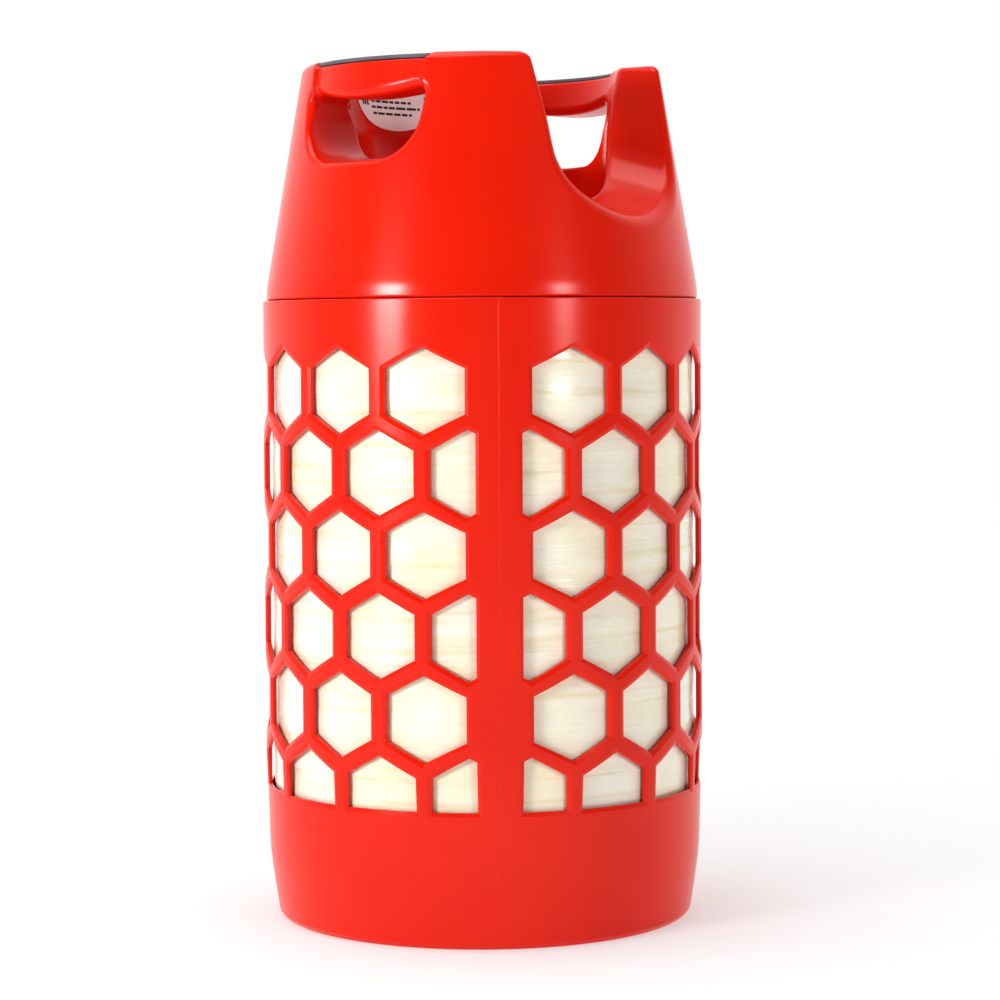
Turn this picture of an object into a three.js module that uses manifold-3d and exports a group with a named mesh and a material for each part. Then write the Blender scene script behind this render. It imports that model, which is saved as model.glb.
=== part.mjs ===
// Composite propane cylinder: a glass-fibre-wound pressure vessel inside a two-piece plastic casing,
// with a brass handwheel valve in the bowl of the handle collar. Millimetres, +Z up, origin at the
// middle of the base. The valve opening of the collar faces -Y, the two handles are at -X and +X.
import * as THREE from 'three'
import { mergeVertices } from 'three/addons/utils/BufferGeometryUtils.js'
import Module from 'manifold-3d'

const wasm = await Module()
wasm.setup()

// ---------- driving dimensions ----------
const GAP = 0.3 // between neighbouring pieces
const HEIGHT = 588 // floor to the top of the collar
const CASING_R = 152.5
const SEAM_Z = 426 // where the collar stands on the lower casing
const CASING_WALL = 4.7
const CASING_BORE = CASING_R - CASING_WALL
const SEGMENTS = 36
const VESSEL_SEGMENTS = 28
const SMALL_SEGMENTS = 18

// honeycomb windows, measured round the casing from the middle of each plain band
const BAND_ANGLE = 45 // polar angle of one plain band; the other is opposite
const BAND_HALF = 15.8
const WINDOW_PITCH = 23.6 // degrees between neighbours in a row
const FIRST_WINDOW = 90 - 3 * WINDOW_PITCH // degrees from the band to the nearest whole window
const ROWS = 6
const ROW_TOP_Z = 365.3
const ROW_PITCH = 53.4
const MOST_SLANT = 24 // degrees of a window's walls from the window's own middle
const WINDOW_HALF_WIDTH = 25.6
const WINDOW_HALF_HEIGHT = 28.8
const WINDOW_SHOULDER = 15 // half the length of the upright sides
const WINDOWS_END_Z = 91

// handle collar
const COLLAR_FOOT_R = 151.3
const COLLAR_TOP_R = 123.6
const COLLAR_WALL = 4
const BOWL_R = 86.5
const BOWL_TOP_R = 96.5
const BOWL_FLOOR_Z = 477
const NOTCH_BOTTOM_Z = 480 // at the outer surface
const NOTCH_TILT = THREE.MathUtils.degToRad(14)
const HOLE_HALF = 50
const HOLE_BOTTOM_Z = 518.5
const HOLE_CORNER = 29
const BAR_UNDER_Z = 560 // underside of the handle bar at its middle
const BAR_TOP_Z = 584
const BAR_INSET = 3
const GRIP_HALF = 50
const GRIP_R = [100, 120.6]
const TONGUE_HALF = 40
const TONGUE_R = [105, 115]
const TONGUE_DEPTH = 3
const TONGUE_PLAY = 0.5
const LABEL_HALF = 46
const LABEL_X = 8
const LABEL_DROP = 26
const LABEL_MID_Z = 575

// pressure vessel
const VESSEL_R = 147
const WRAP_WALL = 4
const LINER_WALL = 3
const DOME_LOW_Z = 96
const DOME_HIGH_Z = 385
const LOW_DOME = 80
const HIGH_DOME = 85
const NECK_R = 22
const DOME_STEPS = 5
const NECK_TOP_Z = 482
const BOSS_UNDER_Z = 454

// valve, on the vessel's axis
const INLET_R = 12.9
const BOSS_BORE = INLET_R + GAP
const BODY_R = 17
const SEAT_Z = 502
const BODY_TOP_Z = 524
const OUTLET_Z = 512
const OUTLET_R = 10.9
const OUTLET_END = 44
const RELIEF_Z = 495
const RELIEF_END = 34
const STEM_R = 4
const WHEEL_R = 27
const WHEEL_Z = 538
const WHEEL_HEIGHT = 15
const WHEEL_TOP = WHEEL_Z + WHEEL_HEIGHT
const SQUARE_Z = WHEEL_Z + 8 // where the spindle becomes square
const CHAMBER_R = 8
const CHAMBER_Z = SEAT_Z + 1.5
const GLAND_SEAT_Z = BODY_TOP_Z - 4.4
const GLAND_BORE = 10.3
const PLUG_LOW = CHAMBER_Z + 1.7
const PLUG_TOP = 514
const SPINDLE_LOW = 510.5
const SPINDLE_COLLAR_Z = 517.2
const RELIEF_SEAT_Y = 10
const RELIEF_BORE = 5.8
const POPPET_Y = RELIEF_SEAT_Y + 2.3
const SPRING_Y = [16, 27.2]

// ---------- shape helpers ----------
const rad = THREE.MathUtils.degToRad

function solid(geometry) {
  const bare = geometry.clone()
  bare.deleteAttribute('normal')
  bare.deleteAttribute('uv')
  const merged = mergeVertices(bare, 1e-4)
  const corners = []
  for (let i = 0; i < merged.index.count; i += 3) {
    const [a, b, c] = [0, 1, 2].map((k) => merged.index.getX(i + k))
    if (a !== b && b !== c && c !== a) corners.push(a, b, c)
  }
  return new wasm.Manifold(new wasm.Mesh({
    numProp: 3,
    vertProperties: new Float32Array(merged.attributes.position.array),
    triVerts: new Uint32Array(corners),
  }))
}

function placed(geometry, { x = 0, y = 0, z = 0, turnX = 0, turnZ = 0 } = {}) {
  return geometry.rotateX(turnX).rotateZ(turnZ).translate(x, y, z)
}

// a solid of revolution about Z from [radius, height] pairs in anticlockwise order
function turned(outline, segments = SEGMENTS) {
  const points = outline.map(([r, z]) => new THREE.Vector2(r, z))
  const closed = outline[0][0] > 0 || outline.at(-1)[0] > 0
  if (closed) points.push(points[0].clone())
  return new THREE.LatheGeometry(points, segments).rotateX(Math.PI / 2)
}

// a solid of revolution about a horizontal line through [0, 0, z]; heights run along +Y
function turnedAlongY(outline, z, segments) {
  return turned(outline, segments).rotateX(-Math.PI / 2).translate(0, 0, z)
}

function outlineShape(points) {
  return new THREE.Shape(points.map(([x, y]) => new THREE.Vector2(x, y)))
}

// a straight prism: the outline lies in XY and rises along +Z
function prism(points, height, base = 0) {
  return new THREE.ExtrudeGeometry(outlineShape(points), { depth: height, bevelEnabled: false })
    .translate(0, 0, base)
}

// a prism whose outline is drawn in [sideways, up] and which runs outward along -Y
function outwardPrism(points, from, to) {
  return prism(points, to - from, from).rotateX(Math.PI / 2)
}

function polygon(sides, radius, start = 0) {
  const corner = (k) => start + (2 * Math.PI * k) / sides
  return Array.from({ length: sides }, (_, k) => [radius * Math.cos(corner(k)), radius * Math.sin(corner(k))])
}

function arc(cx, cy, radius, from, to, steps) {
  return Array.from({ length: steps + 1 }, (_, k) => {
    const angle = rad(from + ((to - from) * k) / steps)
    return [cx + radius * Math.cos(angle), cy + radius * Math.sin(angle)]
  })
}

function box(x, y, z, cx, cy, cz) {
  return new THREE.BoxGeometry(x, y, z).translate(cx, cy, cz)
}

function ring(radius, section, z) {
  return placed(new THREE.TorusGeometry(radius, section, 6, SMALL_SEGMENTS), { z })
}

function toGeometry(manifold) {
  const mesh = manifold.getMesh()
  const geometry = new THREE.BufferGeometry()
  geometry.setAttribute('position', new THREE.BufferAttribute(mesh.vertProperties, 3))
  geometry.setIndex(new THREE.BufferAttribute(mesh.triVerts, 1))
  geometry.computeVertexNormals()
  return geometry
}

const cut = (body, ...tools) => tools.reduce((left, tool) => left.subtract(tool), body)
const join = (body, ...more) => more.reduce((left, piece) => left.add(piece), body)

// ---------- materials ----------
const casingRed = [0xe8210f, 0.35, 0]
const gripGrey = [0x4a464c, 0.6, 0]
const woundFibre = [0xe9e6cf, 0.3, 0]
const linerPlastic = [0xdfe3df, 0.5, 0]
const brass = [0xb8963e, 0.35, 1]
const steel = [0xa9abad, 0.35, 1]
const blackRubber = [0x161616, 0.8, 0]
const wheelBlack = [0x1d1e20, 0.55, 0]
const capBlack = [0x202124, 0.6, 0]
const paperWhite = [0xf4f2f2, 0.7, 0]

// ---------- lower casing ----------
function coneR(z) {
  return COLLAR_TOP_R + ((HEIGHT - z) * (COLLAR_FOOT_R - COLLAR_TOP_R)) / (HEIGHT - SEAM_Z)
}

// a window from its inner side to its far upright side; the lowest row stops short
function windowOutline(inner, rowZ) {
  const slope = (WINDOW_HALF_HEIGHT - WINDOW_SHOULDER) / WINDOW_HALF_WIDTH
  const edge = (x) => WINDOW_HALF_HEIGHT - slope * Math.abs(x)
  const upper = [WINDOW_HALF_WIDTH, 0, inner].map((x) => [x, edge(x)])
  const lower = upper.map(([x, z]) => [x, Math.max(-z, WINDOWS_END_Z - rowZ)]).reverse()
  return [...upper, ...lower]
}

// a window's walls follow the way its mould slide is drawn, halfway between the bands and the sides,
// but never slant so far that the rib beside them runs to an edge
function drawAngle(fromBand) {
  const middle = Math.abs(fromBand)
  if (Math.abs(middle - 90) < WINDOW_PITCH / 4) return fromBand
  const slide = middle < 90 ? 45 : 135
  return Math.sign(fromBand) * THREE.MathUtils.clamp(slide, middle - MOST_SLANT, middle + MOST_SLANT)
}

function windowTool(band, fromBand, inner, rowZ) {
  const outline = windowOutline(inner, rowZ)
  const facing = fromBand > 0 ? outline : outline.map(([x, z]) => [-x, z]).reverse()
  const lean = Math.tan(rad(drawAngle(fromBand) - fromBand))
  const shear = new THREE.Matrix4().set(1, -lean, 0, -lean * CASING_R, 0, 1, 0, 0, 0, 0, 1, 0, 0, 0, 0, 1)
  const prismAtFront = outwardPrism(facing, 120, 170).applyMatrix4(shear)
  return solid(placed(prismAtFront, { z: rowZ, turnZ: rad(band + fromBand + 90) }))
}

function windowTools() {
  const partCentre = FIRST_WINDOW - WINDOW_PITCH / 2
  const partInner = BAND_HALF - CASING_R * Math.sin(rad(partCentre))
  const tools = []
  for (let row = 0; row < ROWS; row++) {
    const rowZ = ROW_TOP_Z - row * ROW_PITCH
    const shifted = row % 2 === 1
    const first = shifted ? FIRST_WINDOW + WINDOW_PITCH / 2 : FIRST_WINDOW
    const count = shifted ? 6 : 7
    for (const band of [BAND_ANGLE, BAND_ANGLE + 180]) {
      for (let k = 0; k < count; k++) {
        tools.push(windowTool(band, first + k * WINDOW_PITCH, -WINDOW_HALF_WIDTH, rowZ))
      }
      if (shifted) {
        tools.push(windowTool(band, partCentre, partInner, rowZ))
        tools.push(windowTool(band, -partCentre, partInner, rowZ))
      }
    }
  }
  return tools
}

function lowerCasing() {
  const bore = CASING_BORE
  const footInner = 128
  const floorUnder = 8
  const floorTop = 12
  const support = [92, 97] // the ring that the vessel's lower dome sits on
  const drainHole = 25
  const outline = [
    [footInner, 0], [140.5, 0], [143.7, 2.5], [150, 46], [150.8, 75], [CASING_R, 125],
    [CASING_R, SEAM_Z - 1], [CASING_R - 1, SEAM_Z], [bore, SEAM_Z],
    [bore, SEAM_Z - 8], [bore + 1.4, SEAM_Z - 9], [bore + 1.4, SEAM_Z - 14], [bore, SEAM_Z - 15],
    [bore, 92], [144, 50], [139.5, 20], [134, floorTop],
    [support[1], floorTop], [support[1], 35.4], [support[0], 33.3], [support[0], floorTop],
    [drainHole, floorTop], [drainHole, floorUnder], [footInner, floorUnder],
  ]
  const slots = Array.from({ length: 6 }, (_, k) => {
    return solid(placed(box(9, 34, 20, 112, 0, 10), { turnZ: rad(60 * k + 30) }))
  })
  return cut(solid(turned(outline)), ...windowTools(), ...slots)
}

// ---------- handle collar ----------
// the cut for the valve's outlet: a shallow arc below, rounded corners and leaning sides, running
// outward along -Y and down; drawn where it would cross the axis, and grown to leave a wall
function notchTool(grow = 0) {
  const sink = Math.tan(NOTCH_TILT)
  const floorR = 88
  const cornerR = 36
  const floorCentre = NOTCH_BOTTOM_Z + coneR(NOTCH_BOTTOM_Z) * sink + floorR
  const sweep = 28 // half angle of the floor arc
  const lean = 6 // of the sides from upright
  const cornerX = (floorR - cornerR) * Math.sin(rad(sweep))
  const cornerZ = floorCentre - (floorR - cornerR) * Math.cos(rad(sweep))
  const floor = arc(0, floorCentre, floorR + grow, -90 - sweep, -90 + sweep, 6)
  const corner = arc(cornerX, cornerZ, cornerR + grow, -90 + sweep, -lean, 5).slice(1)
  const [sideX, sideZ] = corner.at(-1)
  const topZ = 660
  const top = [sideX + (topZ - sideZ) * Math.tan(rad(lean)), topZ]
  const right = [...corner, top]
  const left = right.map(([x, z]) => [-x, z]).reverse()
  const tilt = new THREE.Matrix4().set(1, 0, 0, 0, 0, 1, 0, 0, 0, sink, 1, 0, 0, 0, 0, 1)
  return solid(outwardPrism([...left, ...floor, ...right], 30, 175).applyMatrix4(tilt))
}

// a hand hole: flat floor, round lower corners, and a top that bellies down to fit the palm
function handHoleTool(side, grow = 0) {
  const topCorner = 7
  const rise = 4.5 // of the belly from its middle to its ends
  const topCentre = [HOLE_HALF - topCorner, BAR_UNDER_Z + rise - topCorner]
  const bellyR = (topCentre[0] ** 2 + rise ** 2) / (2 * rise)
  const spread = THREE.MathUtils.radToDeg(Math.asin(topCentre[0] / bellyR))
  const lower = arc(HOLE_HALF - HOLE_CORNER, HOLE_BOTTOM_Z + HOLE_CORNER, HOLE_CORNER + grow, -90, 0, 5)
  const upper = arc(...topCentre, topCorner + grow, 0, 90, 3)
  const belly = arc(0, BAR_UNDER_Z + bellyR, bellyR - grow, spread - 90, -90 - spread, 6).slice(1, -1)
  const right = [...lower, ...upper]
  const left = right.map(([x, z]) => [-x, z]).reverse()
  return solid(outwardPrism([...right, ...belly, ...left], 70, 165).rotateZ(side * Math.PI / 2))
}

// a block over both handles, as wide as the given half length each way
const acrossHandles = (halfLength) => box(400, 2 * halfLength, 400, 0, 0, HEIGHT)

// what is taken off the outside of a handle bar, so that its face lies behind the cone
function barFaceTool(depth, halfLength, fromZ) {
  const topZ = HEIGHT + 4
  const outside = 9
  const shell = [
    [coneR(fromZ) - depth, fromZ], [coneR(fromZ) + outside, fromZ],
    [coneR(topZ) + outside, topZ], [coneR(topZ) - depth, topZ],
  ]
  return solid(turned(shell)).intersect(solid(acrossHandles(halfLength)))
}

// the step in the top edge where the grips lie, across both handles
function gripSeat(halfLength, floorZ) {
  const slant = 0.6
  const topZ = HEIGHT + 8
  const topHalf = halfLength + (topZ - floorZ) * slant
  const outline = [[-halfLength, floorZ], [halfLength, floorZ], [topHalf, topZ], [-topHalf, topZ]]
  return [-1, 1].map((side) => solid(outwardPrism(outline, 60, 165).rotateZ(side * Math.PI / 2)))
}

function bowlOutline(grow = 0) {
  return [
    [BOWL_R + grow, 500], [BOWL_R + 0.8 + grow, 525], [BOWL_R + 2.1 + grow, 545],
    [BOWL_R + 5 + grow, 567], [BOWL_TOP_R + grow, HEIGHT],
  ]
}

function collar() {
  const footZ = SEAM_Z + 0.4
  const topRound = 4
  const spigot = [142.6, 146.6]
  const spigotZ = 408
  const bead = 1.1
  const outside = [
    [0, spigotZ], [spigot[1] - 1, spigotZ], [spigot[1], spigotZ + 1], [spigot[1], SEAM_Z - 13.4],
    [spigot[1] + bead, SEAM_Z - 12.4], [spigot[1] + bead, SEAM_Z - 10.6], [spigot[1], SEAM_Z - 9.6],
    [spigot[1], footZ], [COLLAR_FOOT_R - 0.6, footZ], [COLLAR_FOOT_R, footZ + 1], [coneR(432), 432],
    [coneR(HEIGHT - topRound), HEIGHT - topRound], [coneR(HEIGHT) - 1, HEIGHT - 1.2],
    [coneR(HEIGHT) - topRound, HEIGHT], [0, HEIGHT],
  ]
  const bowl = [
    [0, BOWL_FLOOR_Z], [BOWL_R - 5, BOWL_FLOOR_Z], [BOWL_R, BOWL_FLOOR_Z + 5],
    ...bowlOutline().slice(0, -1), [BOWL_TOP_R + 0.5, HEIGHT + 2], [0, HEIGHT + 2],
  ]
  const hollowTop = 578
  const underFloor = BOWL_FLOOR_Z - COLLAR_WALL
  const wallInside = bowlOutline(COLLAR_WALL).slice(0, 4).reverse()
  const hollow = [
    [0, spigotZ - 5], [spigot[0], spigotZ - 5], [spigot[0], 432], [coneR(436) - COLLAR_WALL, 436],
    [coneR(hollowTop) - COLLAR_WALL, hollowTop], [BOWL_TOP_R + 2.5, hollowTop],
    ...wallInside, [BOWL_R + COLLAR_WALL, underFloor], [0, underFloor],
  ]
  const neckHole = placed(new THREE.CylinderGeometry(NECK_R + 0.8, NECK_R + 0.8, 30, SMALL_SEGMENTS), {
    z: BOWL_FLOOR_Z, turnX: Math.PI / 2,
  })
  const barLow = BAR_UNDER_Z + 1
  const space = cut(
    solid(turned(hollow)), notchTool(COLLAR_WALL),
    handHoleTool(1, COLLAR_WALL), handHoleTool(-1, COLLAR_WALL),
    barFaceTool(BAR_INSET + COLLAR_WALL, HOLE_HALF + COLLAR_WALL, barLow - COLLAR_WALL),
  )
  const slot = solid(turned(gripTongue(TONGUE_PLAY)))
    .intersect(solid(acrossHandles(TONGUE_HALF + TONGUE_PLAY)))
  return cut(
    solid(turned(outside)), solid(turned(bowl)), notchTool(), handHoleTool(1), handHoleTool(-1),
    barFaceTool(BAR_INSET, HOLE_HALF, barLow), ...gripSeat(GRIP_HALF, BAR_TOP_Z),
    slot, solid(neckHole), space,
  )
}

// ---------- handle grips ----------
// the rib under a grip that stands in the bar's slot
function gripTongue(play = 0) {
  const floor = BAR_TOP_Z - TONGUE_DEPTH - play
  const top = BAR_TOP_Z + 1
  const [inner, outer] = [TONGUE_R[0] - play, TONGUE_R[1] + play]
  return [[inner, floor], [outer, floor], [outer, top], [inner, top]]
}

function grip(side) {
  const low = BAR_TOP_Z + GAP
  const high = HEIGHT - 0.8
  const [inner, outer] = GRIP_R
  const pad = [
    [inner, low], [outer, low], [outer, low + 1], [outer - 2.4, high], [inner + 2, high], [inner, low + 1],
  ]
  const length = solid(box(200, 2 * TONGUE_HALF, 60, side * 100, 0, HEIGHT))
  const ends = gripSeat(GRIP_HALF - 2 * GAP, BAR_TOP_Z)[side < 0 ? 0 : 1]
  return solid(turned(pad)).intersect(ends).add(solid(turned(gripTongue())).intersect(length))
}

function label() {
  const thickness = 0.4
  const inside = bowlOutline(-GAP - thickness)
  const outside = bowlOutline(-GAP)
  const sheet = solid(turned([...outside.slice(1), ...inside.slice(1).reverse()]))
  const oval = arc(0, 0, LABEL_DROP, 0, 360, 24).slice(1)
    .map(([x, z]) => [x * LABEL_HALF / LABEL_DROP - LABEL_X, z + LABEL_MID_Z])
  const flat = solid(outwardPrism(oval, 60, 110).rotateZ(Math.PI))
  const topZ = 583
  return sheet.intersect(flat).intersect(solid(box(200, 300, 60, 0, 100, topZ - 30)))
}

// ---------- pressure vessel ----------
function dome(radius, centreZ, height, from, to, steps) {
  return Array.from({ length: steps + 1 }, (_, k) => {
    const angle = rad(from + ((to - from) * k) / steps)
    return [radius * Math.cos(angle), centreZ + height * Math.sin(angle)]
  })
}

const heightOnDome = (radius, height, r) => DOME_HIGH_Z + height * Math.sqrt(1 - (r / radius) ** 2)

function wrap() {
  const hole = NECK_R + 0.4
  const inner = VESSEL_R - WRAP_WALL
  const lowInner = LOW_DOME - WRAP_WALL
  const highInner = HIGH_DOME - WRAP_WALL
  const outline = [
    [0, DOME_LOW_Z - LOW_DOME], ...dome(VESSEL_R, DOME_LOW_Z, LOW_DOME, -90, 0, DOME_STEPS).slice(1),
    ...dome(VESSEL_R, DOME_HIGH_Z, HIGH_DOME, 0, 75, 5), [hole, heightOnDome(VESSEL_R, HIGH_DOME, hole)],
    [hole, heightOnDome(inner, highInner, hole)], ...dome(inner, DOME_HIGH_Z, highInner, 75, 0, 5),
    ...dome(inner, DOME_LOW_Z, lowInner, 0, -90, DOME_STEPS).slice(0, -1), [0, DOME_LOW_Z - lowInner],
  ]
  return solid(turned(outline, VESSEL_SEGMENTS))
}

function liner() {
  const radius = VESSEL_R - WRAP_WALL - GAP
  const low = LOW_DOME - WRAP_WALL - GAP
  const high = HIGH_DOME - WRAP_WALL - GAP
  const inner = radius - LINER_WALL
  const mouth = 14
  const outline = [
    [0, DOME_LOW_Z - low], ...dome(radius, DOME_LOW_Z, low, -90, 0, DOME_STEPS).slice(1),
    ...dome(radius, DOME_HIGH_Z, high, 0, 60, 4), [43, 457.5], [38.6, 453.7], [mouth, 453.7],
    [mouth, 449.2], [42, 449.2], ...dome(inner, DOME_HIGH_Z, high - LINER_WALL, 60, 0, 4),
    ...dome(inner, DOME_LOW_Z, low - LINER_WALL, 0, -90, DOME_STEPS).slice(0, -1),
    [0, DOME_LOW_Z - low + LINER_WALL],
  ]
  return solid(turned(outline, VESSEL_SEGMENTS))
}

function boss() {
  const groove = [25.8, 28.8]
  const counterbore = 16.6
  const outline = [
    [BOSS_BORE, BOSS_UNDER_Z], [groove[0], BOSS_UNDER_Z], [groove[0], BOSS_UNDER_Z + 2.6],
    [groove[1], BOSS_UNDER_Z + 2.6], [groove[1], BOSS_UNDER_Z], [38, BOSS_UNDER_Z], [38, 459.5],
    [NECK_R, 459.5], [NECK_R, NECK_TOP_Z], [counterbore, NECK_TOP_Z],
    [counterbore, NECK_TOP_Z - 2.6], [BOSS_BORE, NECK_TOP_Z - 2.6],
  ]
  return solid(turned(outline, SMALL_SEGMENTS))
}

// ---------- valve ----------
const cylinder = (radius, from, to) => [[0, from], [radius, from], [radius, to], [0, to]]

function hexagon(acrossFlats, from, to) {
  return prism(polygon(6, acrossFlats / Math.sqrt(3)), to - from, from)
}

function valveBody() {
  const flangeZ = [NECK_TOP_Z + 0.5, NECK_TOP_Z + 6]
  const passage = 4
  const outside = join(
    solid(turned(cylinder(INLET_R, 456, flangeZ[1]), SMALL_SEGMENTS)),
    solid(hexagon(34, ...flangeZ)),
    solid(turned(cylinder(BODY_R, flangeZ[1] - 1, BODY_TOP_Z), SMALL_SEGMENTS)),
    solid(turnedAlongY(cylinder(OUTLET_R, -OUTLET_END, 0), OUTLET_Z, SMALL_SEGMENTS)),
    solid(turnedAlongY(cylinder(8.5, 0, RELIEF_END), RELIEF_Z, SMALL_SEGMENTS)),
  )
  const lipTop = CHAMBER_Z + 0.8
  const seatLip = [
    [passage + 1.4, CHAMBER_Z], [CHAMBER_R, CHAMBER_Z], [CHAMBER_R, lipTop], [passage + 1.2, lipTop],
  ]
  return cut(
    outside,
    solid(turned(cylinder(passage, 450, CHAMBER_Z + 2), SMALL_SEGMENTS)),
    solid(turned(seatLip, SMALL_SEGMENTS)),
    solid(turned(cylinder(CHAMBER_R, CHAMBER_Z + 0.7, BODY_TOP_Z + 1), SMALL_SEGMENTS)),
    solid(turned(cylinder(GLAND_BORE, GLAND_SEAT_Z, BODY_TOP_Z + 1), SMALL_SEGMENTS)),
    solid(turnedAlongY(cylinder(passage, -OUTLET_END - 1, -2), OUTLET_Z, SMALL_SEGMENTS)),
    solid(turnedAlongY(cylinder(2.5, 1, RELIEF_SEAT_Y + 1), RELIEF_Z, SMALL_SEGMENTS)),
    solid(turnedAlongY(cylinder(RELIEF_BORE, RELIEF_SEAT_Y, RELIEF_END + 1), RELIEF_Z, SMALL_SEGMENTS)),
  )
}

function seatPlug() {
  const recess = PLUG_LOW + 1.3
  const outline = [
    [0, recess], [5.9, recess], [5.9, PLUG_LOW], [7.6, PLUG_LOW], [7.6, PLUG_TOP], [0, PLUG_TOP],
  ]
  return cut(solid(turned(outline, SMALL_SEGMENTS)), solid(box(4.2, 8, 12, 0, 0, PLUG_TOP - 0.2)))
}

function seatDisc() {
  return solid(turned(cylinder(5.5, PLUG_LOW - 0.7, PLUG_LOW + 1), SMALL_SEGMENTS))
}

function spindle() {
  const outline = [
    [0, SPINDLE_COLLAR_Z], [6.4, SPINDLE_COLLAR_Z], [6.4, SPINDLE_COLLAR_Z + 2.4],
    [STEM_R, SPINDLE_COLLAR_Z + 2.4], [STEM_R, SQUARE_Z], [0, SQUARE_Z],
  ]
  const tangTop = SPINDLE_COLLAR_Z + 1
  const tang = box(3.4, 7, tangTop - SPINDLE_LOW, 0, 0, (tangTop + SPINDLE_LOW) / 2)
  const square = box(5.6, 5.6, WHEEL_TOP - SQUARE_Z, 0, 0, (WHEEL_TOP + SQUARE_Z) / 2 - 0.5)
  const screwHole = turned(cylinder(2.2, SQUARE_Z - 6, WHEEL_TOP + 1), 12)
  return cut(join(solid(turned(outline, SMALL_SEGMENTS)), solid(tang), solid(square)), solid(screwHole))
}

function glandNut() {
  const skirtZ = GLAND_SEAT_Z + 0.4
  const headZ = BODY_TOP_Z + GAP
  const bore = STEM_R + 0.4
  const groove = [[bore - 1, 522], [7.3, 522], [7.3, 525.4], [bore - 1, 525.4]]
  return cut(
    join(solid(turned(cylinder(10, skirtZ, headZ + 1), SMALL_SEGMENTS)), solid(hexagon(22, headZ, 532))),
    solid(turned(cylinder(bore, skirtZ - 1, 540), SMALL_SEGMENTS)), solid(turned(groove, SMALL_SEGMENTS)),
  )
}

function handwheel() {
  const lobes = 8
  const count = 48
  const rim = Array.from({ length: count }, (_, k) => {
    const angle = (2 * Math.PI * k) / count
    const radius = WHEEL_R - 2.4 + 1.4 * Math.cos(lobes * angle)
    return [radius * Math.cos(angle), radius * Math.sin(angle)]
  })
  const bevel = 1
  const disc = new THREE.ExtrudeGeometry(outlineShape(rim), {
    depth: WHEEL_HEIGHT - 2 * bevel, bevelThickness: bevel, bevelSize: bevel, bevelSegments: 1,
  }).translate(0, 0, WHEEL_Z + bevel)
  const under = [[7.4, WHEEL_Z - 1], [20.5, WHEEL_Z - 1], [20.5, WHEEL_Z + 8], [7.4, WHEEL_Z + 8]]
  const dish = [[0, WHEEL_TOP - 0.6], [9, WHEEL_TOP - 0.6], [9, WHEEL_TOP + 2], [0, WHEEL_TOP + 2]]
  return cut(
    solid(disc), solid(turned(under, SMALL_SEGMENTS)), solid(turned(dish, SMALL_SEGMENTS)),
    solid(turned(cylinder(STEM_R + 0.4, WHEEL_Z - 1, SQUARE_Z + GAP), SMALL_SEGMENTS)),
    solid(box(6.3, 6.3, 20, 0, 0, WHEEL_TOP)),
  )
}

function handwheelScrew() {
  const headZ = WHEEL_TOP - 0.2
  const headTop = headZ + 2.8
  const outline = [
    [0, SQUARE_Z - 4], [1.9, SQUARE_Z - 4], [1.9, headZ], [6, headZ],
    [6, headZ + 1.6], [4.6, headTop], [0, headTop],
  ]
  return cut(solid(turned(outline, SMALL_SEGMENTS)), solid(box(1.4, 20, 2.6, 0, 0, headTop)))
}

function outletCap() {
  const inside = OUTLET_R + 0.4
  const outer = 14.5
  const end = -OUTLET_END - 5
  const outline = [
    [0, end], [outer - 1, end], [outer, end + 1], [outer, end + 21.5],
    [inside, end + 21.5], [inside, end + 2.8], [0, end + 2.8],
  ]
  const flutes = polygon(12, outer + 0.6).map(([x, z]) => {
    return solid(outwardPrism(polygon(6, 1.4), 20, 60).translate(x, 0, OUTLET_Z + z))
  })
  return cut(solid(turnedAlongY(outline, OUTLET_Z, 24)), ...flutes)
}

function outletGasket() {
  const near = -OUTLET_END - GAP
  return solid(turnedAlongY(cylinder(OUTLET_R - 0.4, near - 1.6, near), OUTLET_Z, SMALL_SEGMENTS))
}

function reliefPoppet() {
  const shoulder = POPPET_Y + 3.2
  const end = 29
  const outline = [
    [0, POPPET_Y], [5.3, POPPET_Y], [5.3, shoulder], [1.7, shoulder], [1.7, end], [0, end],
  ]
  return solid(turnedAlongY(outline, RELIEF_Z, SMALL_SEGMENTS))
}

function reliefSeal() {
  const outline = cylinder(4.6, RELIEF_SEAT_Y + GAP, RELIEF_SEAT_Y + 2)
  return solid(turnedAlongY(outline, RELIEF_Z, SMALL_SEGMENTS))
}

function reliefSpring() {
  const wire = 0.55
  const coil = 3.6
  const turns = 4.5
  const stepsPerTurn = 10
  const length = SPRING_Y[1] - SPRING_Y[0] - 2 * wire
  const count = turns * stepsPerTurn
  const points = Array.from({ length: count + 1 }, (_, k) => {
    const angle = (2 * Math.PI * k) / stepsPerTurn
    const y = SPRING_Y[0] + wire + (length * k) / count
    return new THREE.Vector3(coil * Math.cos(angle), y, RELIEF_Z + coil * Math.sin(angle))
  })
  const section = outlineShape(polygon(5, wire))
  const path = new THREE.CatmullRomCurve3(points)
  return solid(new THREE.ExtrudeGeometry(section, { steps: count, extrudePath: path }))
}

function reliefPlug() {
  const outline = [[2.2, 27.5], [5.5, 27.5], [5.5, 32], [2.2, 32]]
  return solid(turnedAlongY(outline, RELIEF_Z, SMALL_SEGMENTS))
}

function reliefDustCap() {
  const inside = RELIEF_END + 0.6
  const skirt = RELIEF_END - 5
  const outline = [
    [0, inside], [8.9, inside], [8.9, skirt], [10.4, skirt],
    [10.4, inside + 1.4], [9.4, inside + 2.4], [0, inside + 2.4],
  ]
  return solid(turnedAlongY(outline, RELIEF_Z, SMALL_SEGMENTS))
}

// ---------- assembly ----------
const propaneTank = new THREE.Group()

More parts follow.
